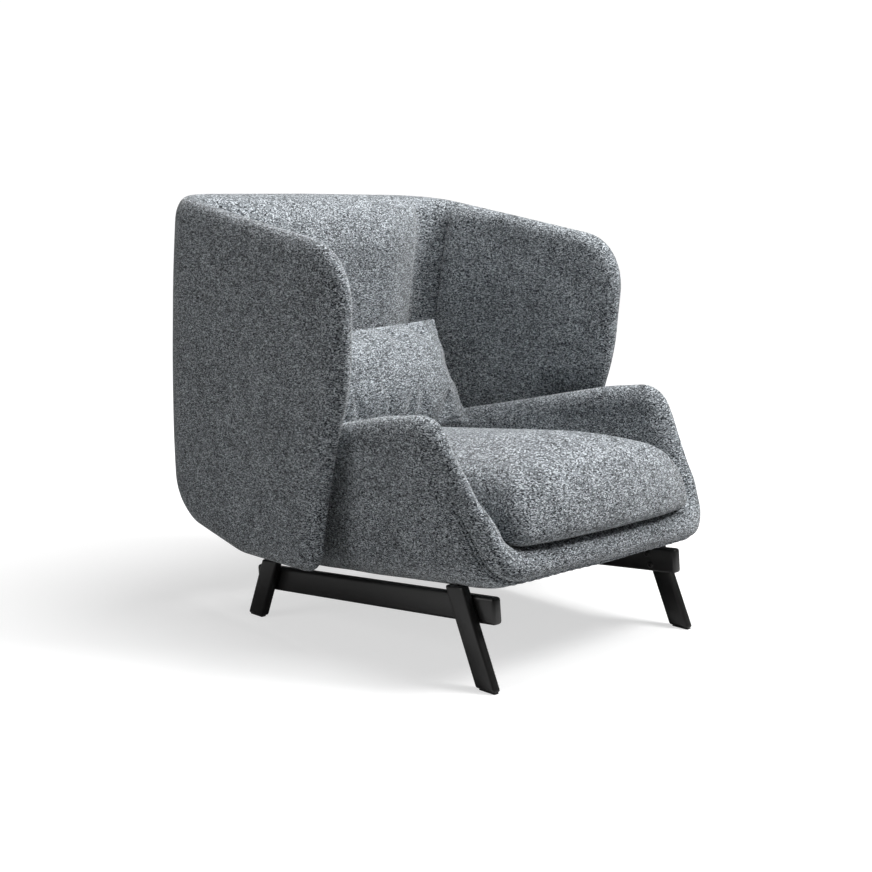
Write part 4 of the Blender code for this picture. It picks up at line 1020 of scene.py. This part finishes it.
def rail_outline(low, high):
    """The rail's corners in the tub's side view, from the ends of its node."""
    to_tub = TUB_TURN.T
    front = (to_tub @ (np.array((0, low[1], high[2])) - TUB_ORIGIN))[1]
    rear = (to_tub @ (np.array((0, high[1], low[2])) - TUB_ORIGIN))[1]
    top, bottom = -RAIL_DROP, -RAIL_DROP - RAIL_HEIGHT
    return [(front, bottom), (rear, bottom), (rear, top), (front, top)]


def turned(start, end, profile, sides=28):
    """A body turned on the axis from start to end; profile is (distance, radius)."""
    bm = bmesh.new()
    axis = (Vector(end) - Vector(start)).normalized()
    turn = Vector((0, 0, 1)).rotation_difference(axis)
    rings = []
    for distance, radius in profile:
        centre = Vector(start) + axis * distance
        rings.append([bm.verts.new(centre + turn @ Vector((
            radius * math.cos(2 * math.pi * k / sides),
            radius * math.sin(2 * math.pi * k / sides), 0))) for k in range(sides)])
    for ring, after in zip(rings, rings[1:]):
        for k in range(sides):
            n = (k + 1) % sides
            bm.faces.new((ring[k], ring[n], after[n], after[k]))
    bm.faces.new(rings[0])
    bm.faces.new(rings[-1])
    return bm


def make_lap_bolts():
    """Button-head bolts through rail and leg, with a socket in each head."""
    for side, sign in (("left", -1), ("right", 1)):
        for place in ("front_low", "front_high", "rear_low", "rear_high"):
            name = f"lap_bolt_{place}_{side}"
            low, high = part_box(name)
            middle = (low + high) / 2
            ends = (low.x, high.x) if sign > 0 else (high.x, low.x)
            start, end = ((x, middle.y, middle.z) for x in ends)
            length = high.x - low.x
            bm = turned(start, end, (
                (0.0018, 0.0002), (0.0018, 0.0021), (0.0003, 0.0024), (0.0, 0.0028),
                (0.0006, 0.0052), (0.0018, 0.0068), (0.0034, 0.0075), (0.0040, 0.0074),
                (0.0040, 0.0040), (length - 0.0010, 0.0040), (length, 0.0030)))
            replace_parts(new_piece(name + "_turned", bm, BLACK_BOLT, split=30), name)


FINISHES = (
    ("leg_", BLACK_STAIN), ("rail_", BLACK_STAIN), ("glide_", NYLON), ("shell_spacer_", NYLON),
    ("lap_bolt_", BLACK_BOLT), ("hanger_bolt_", BLACK_BOLT), ("shell_bolt_", STEEL),
    ("shell_core", PLYWOOD), ("tub_core", PLYWOOD), ("deck_frame_", TIMBER),
    ("seat_webbing", WEBBING), ("deck_pad", FOAM), ("seat_cushion_core", FOAM),
    ("pillow_filling", FOAM), ("", TWEED_COVER))


def finish_nodes():
    """Gives every carried-over node its procedural finish."""
    for name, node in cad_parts.items():
        finish = next(material for start, material in FINISHES if name.startswith(start))
        for slot in node.material_slots:
            slot.material = finish


# ---------------------------------------------------------------- studio
def make_floor():
    bm = bmesh.new()
    bmesh.ops.create_grid(bm, x_segments=8, y_segments=8, size=14.0)
    made, tree, shader = new_material("Studio floor", Specular_IOR_Level=0.0, Roughness=1.0)
    shade = add_node(tree, "TexNoise", {"Vector": coordinates(tree), "Scale": 2.0, "Detail": 2.0})
    tree.links.new(mixed(tree, shade.outputs[0], (0.48, 0.48, 0.48, 1), (0.50, 0.50, 0.50, 1)),
                   shader.inputs["Base Color"])
    # The floor glows for camera rays only, painted light that whitens it; the glow is weaker near
    # the chair, painted shade that deepens its shadow there.
    shader.inputs["Emission Color"].default_value = (1.0, 1.0, 1.0, 1.0)
    outward = add_node(tree, "VectorMath", {0: coordinates(tree)}, operation="LENGTH")
    glow = add_node(tree, "MapRange", {0: outward.outputs[1], 1: 0.6, 2: 3.0, 3: 0.62, 4: 1.0},
                    interpolation_type="SMOOTHSTEP")
    seen = add_node(tree, "LightPath").outputs["Is Camera Ray"]
    tree.links.new(arithmetic(tree, "MULTIPLY", glow.outputs[0], seen),
                   shader.inputs["Emission Strength"])
    mesh = bpy.data.meshes.new("studio_floor")
    bm.to_mesh(mesh)
    bm.free()
    mesh.materials.append(made)
    floor = bpy.data.objects.new("studio_floor", mesh)
    bpy.context.scene.collection.objects.link(floor)


def add_softbox(name, place, target, size, power):
    light = bpy.data.lights.new(name, "AREA")
    light.shape, light.size, light.energy = "SQUARE", size, power
    lamp = bpy.data.objects.new(name, light)
    lamp.location = place
    lamp.rotation_euler = (Vector(target) - Vector(place)).to_track_quat("-Z", "Y").to_euler()
    bpy.context.scene.collection.objects.link(lamp)


def make_studio():
    make_floor()
    world = bpy.data.worlds.new("Studio")
    world.use_nodes = True
    bpy.context.scene.world = world
    backdrop = world.node_tree.nodes["Background"]
    backdrop.inputs["Color"].default_value = (1.0, 1.0, 1.0, 1.0)
    seen = add_node(world.node_tree, "LightPath").outputs["Is Camera Ray"]
    glow = arithmetic(world.node_tree, "MULTIPLY", seen, 1.0)
    world.node_tree.links.new(arithmetic(world.node_tree, "ADD", 0.035, glow),
                              backdrop.inputs["Strength"])
    add_softbox("overhead", (0.3, -0.5, 3.0), (0, 0, 0.4), 1.6, 95.0)
    add_softbox("key", (1.6, -2.4, 3.4), (0, 0, 0.5), 1.4, 150.0)
    add_softbox("fill", (-3.6, 0.9, 1.7), (0, 0, 0.5), 2.0, 30.0)
    bpy.context.scene.view_settings.view_transform = "Standard"


def make_camera():
    data = bpy.data.cameras.new("camera")
    data.lens, data.sensor_width = 59.3, 36.0
    camera = bpy.data.objects.new("camera", data)
    camera.location = (-2.2128, -2.2988, 0.9223)
    camera.rotation_euler = (math.radians(90 - 9.16), 0, math.radians(-44))
    bpy.context.scene.collection.objects.link(camera)
    bpy.context.scene.camera = camera


make_camera()
make_studio()
make_shell()
make_tub()
make_deck_cover()
make_deck_lining()
make_seat_cushion()
make_pillow()
make_side_frames()
make_lap_bolts()
finish_nodes()
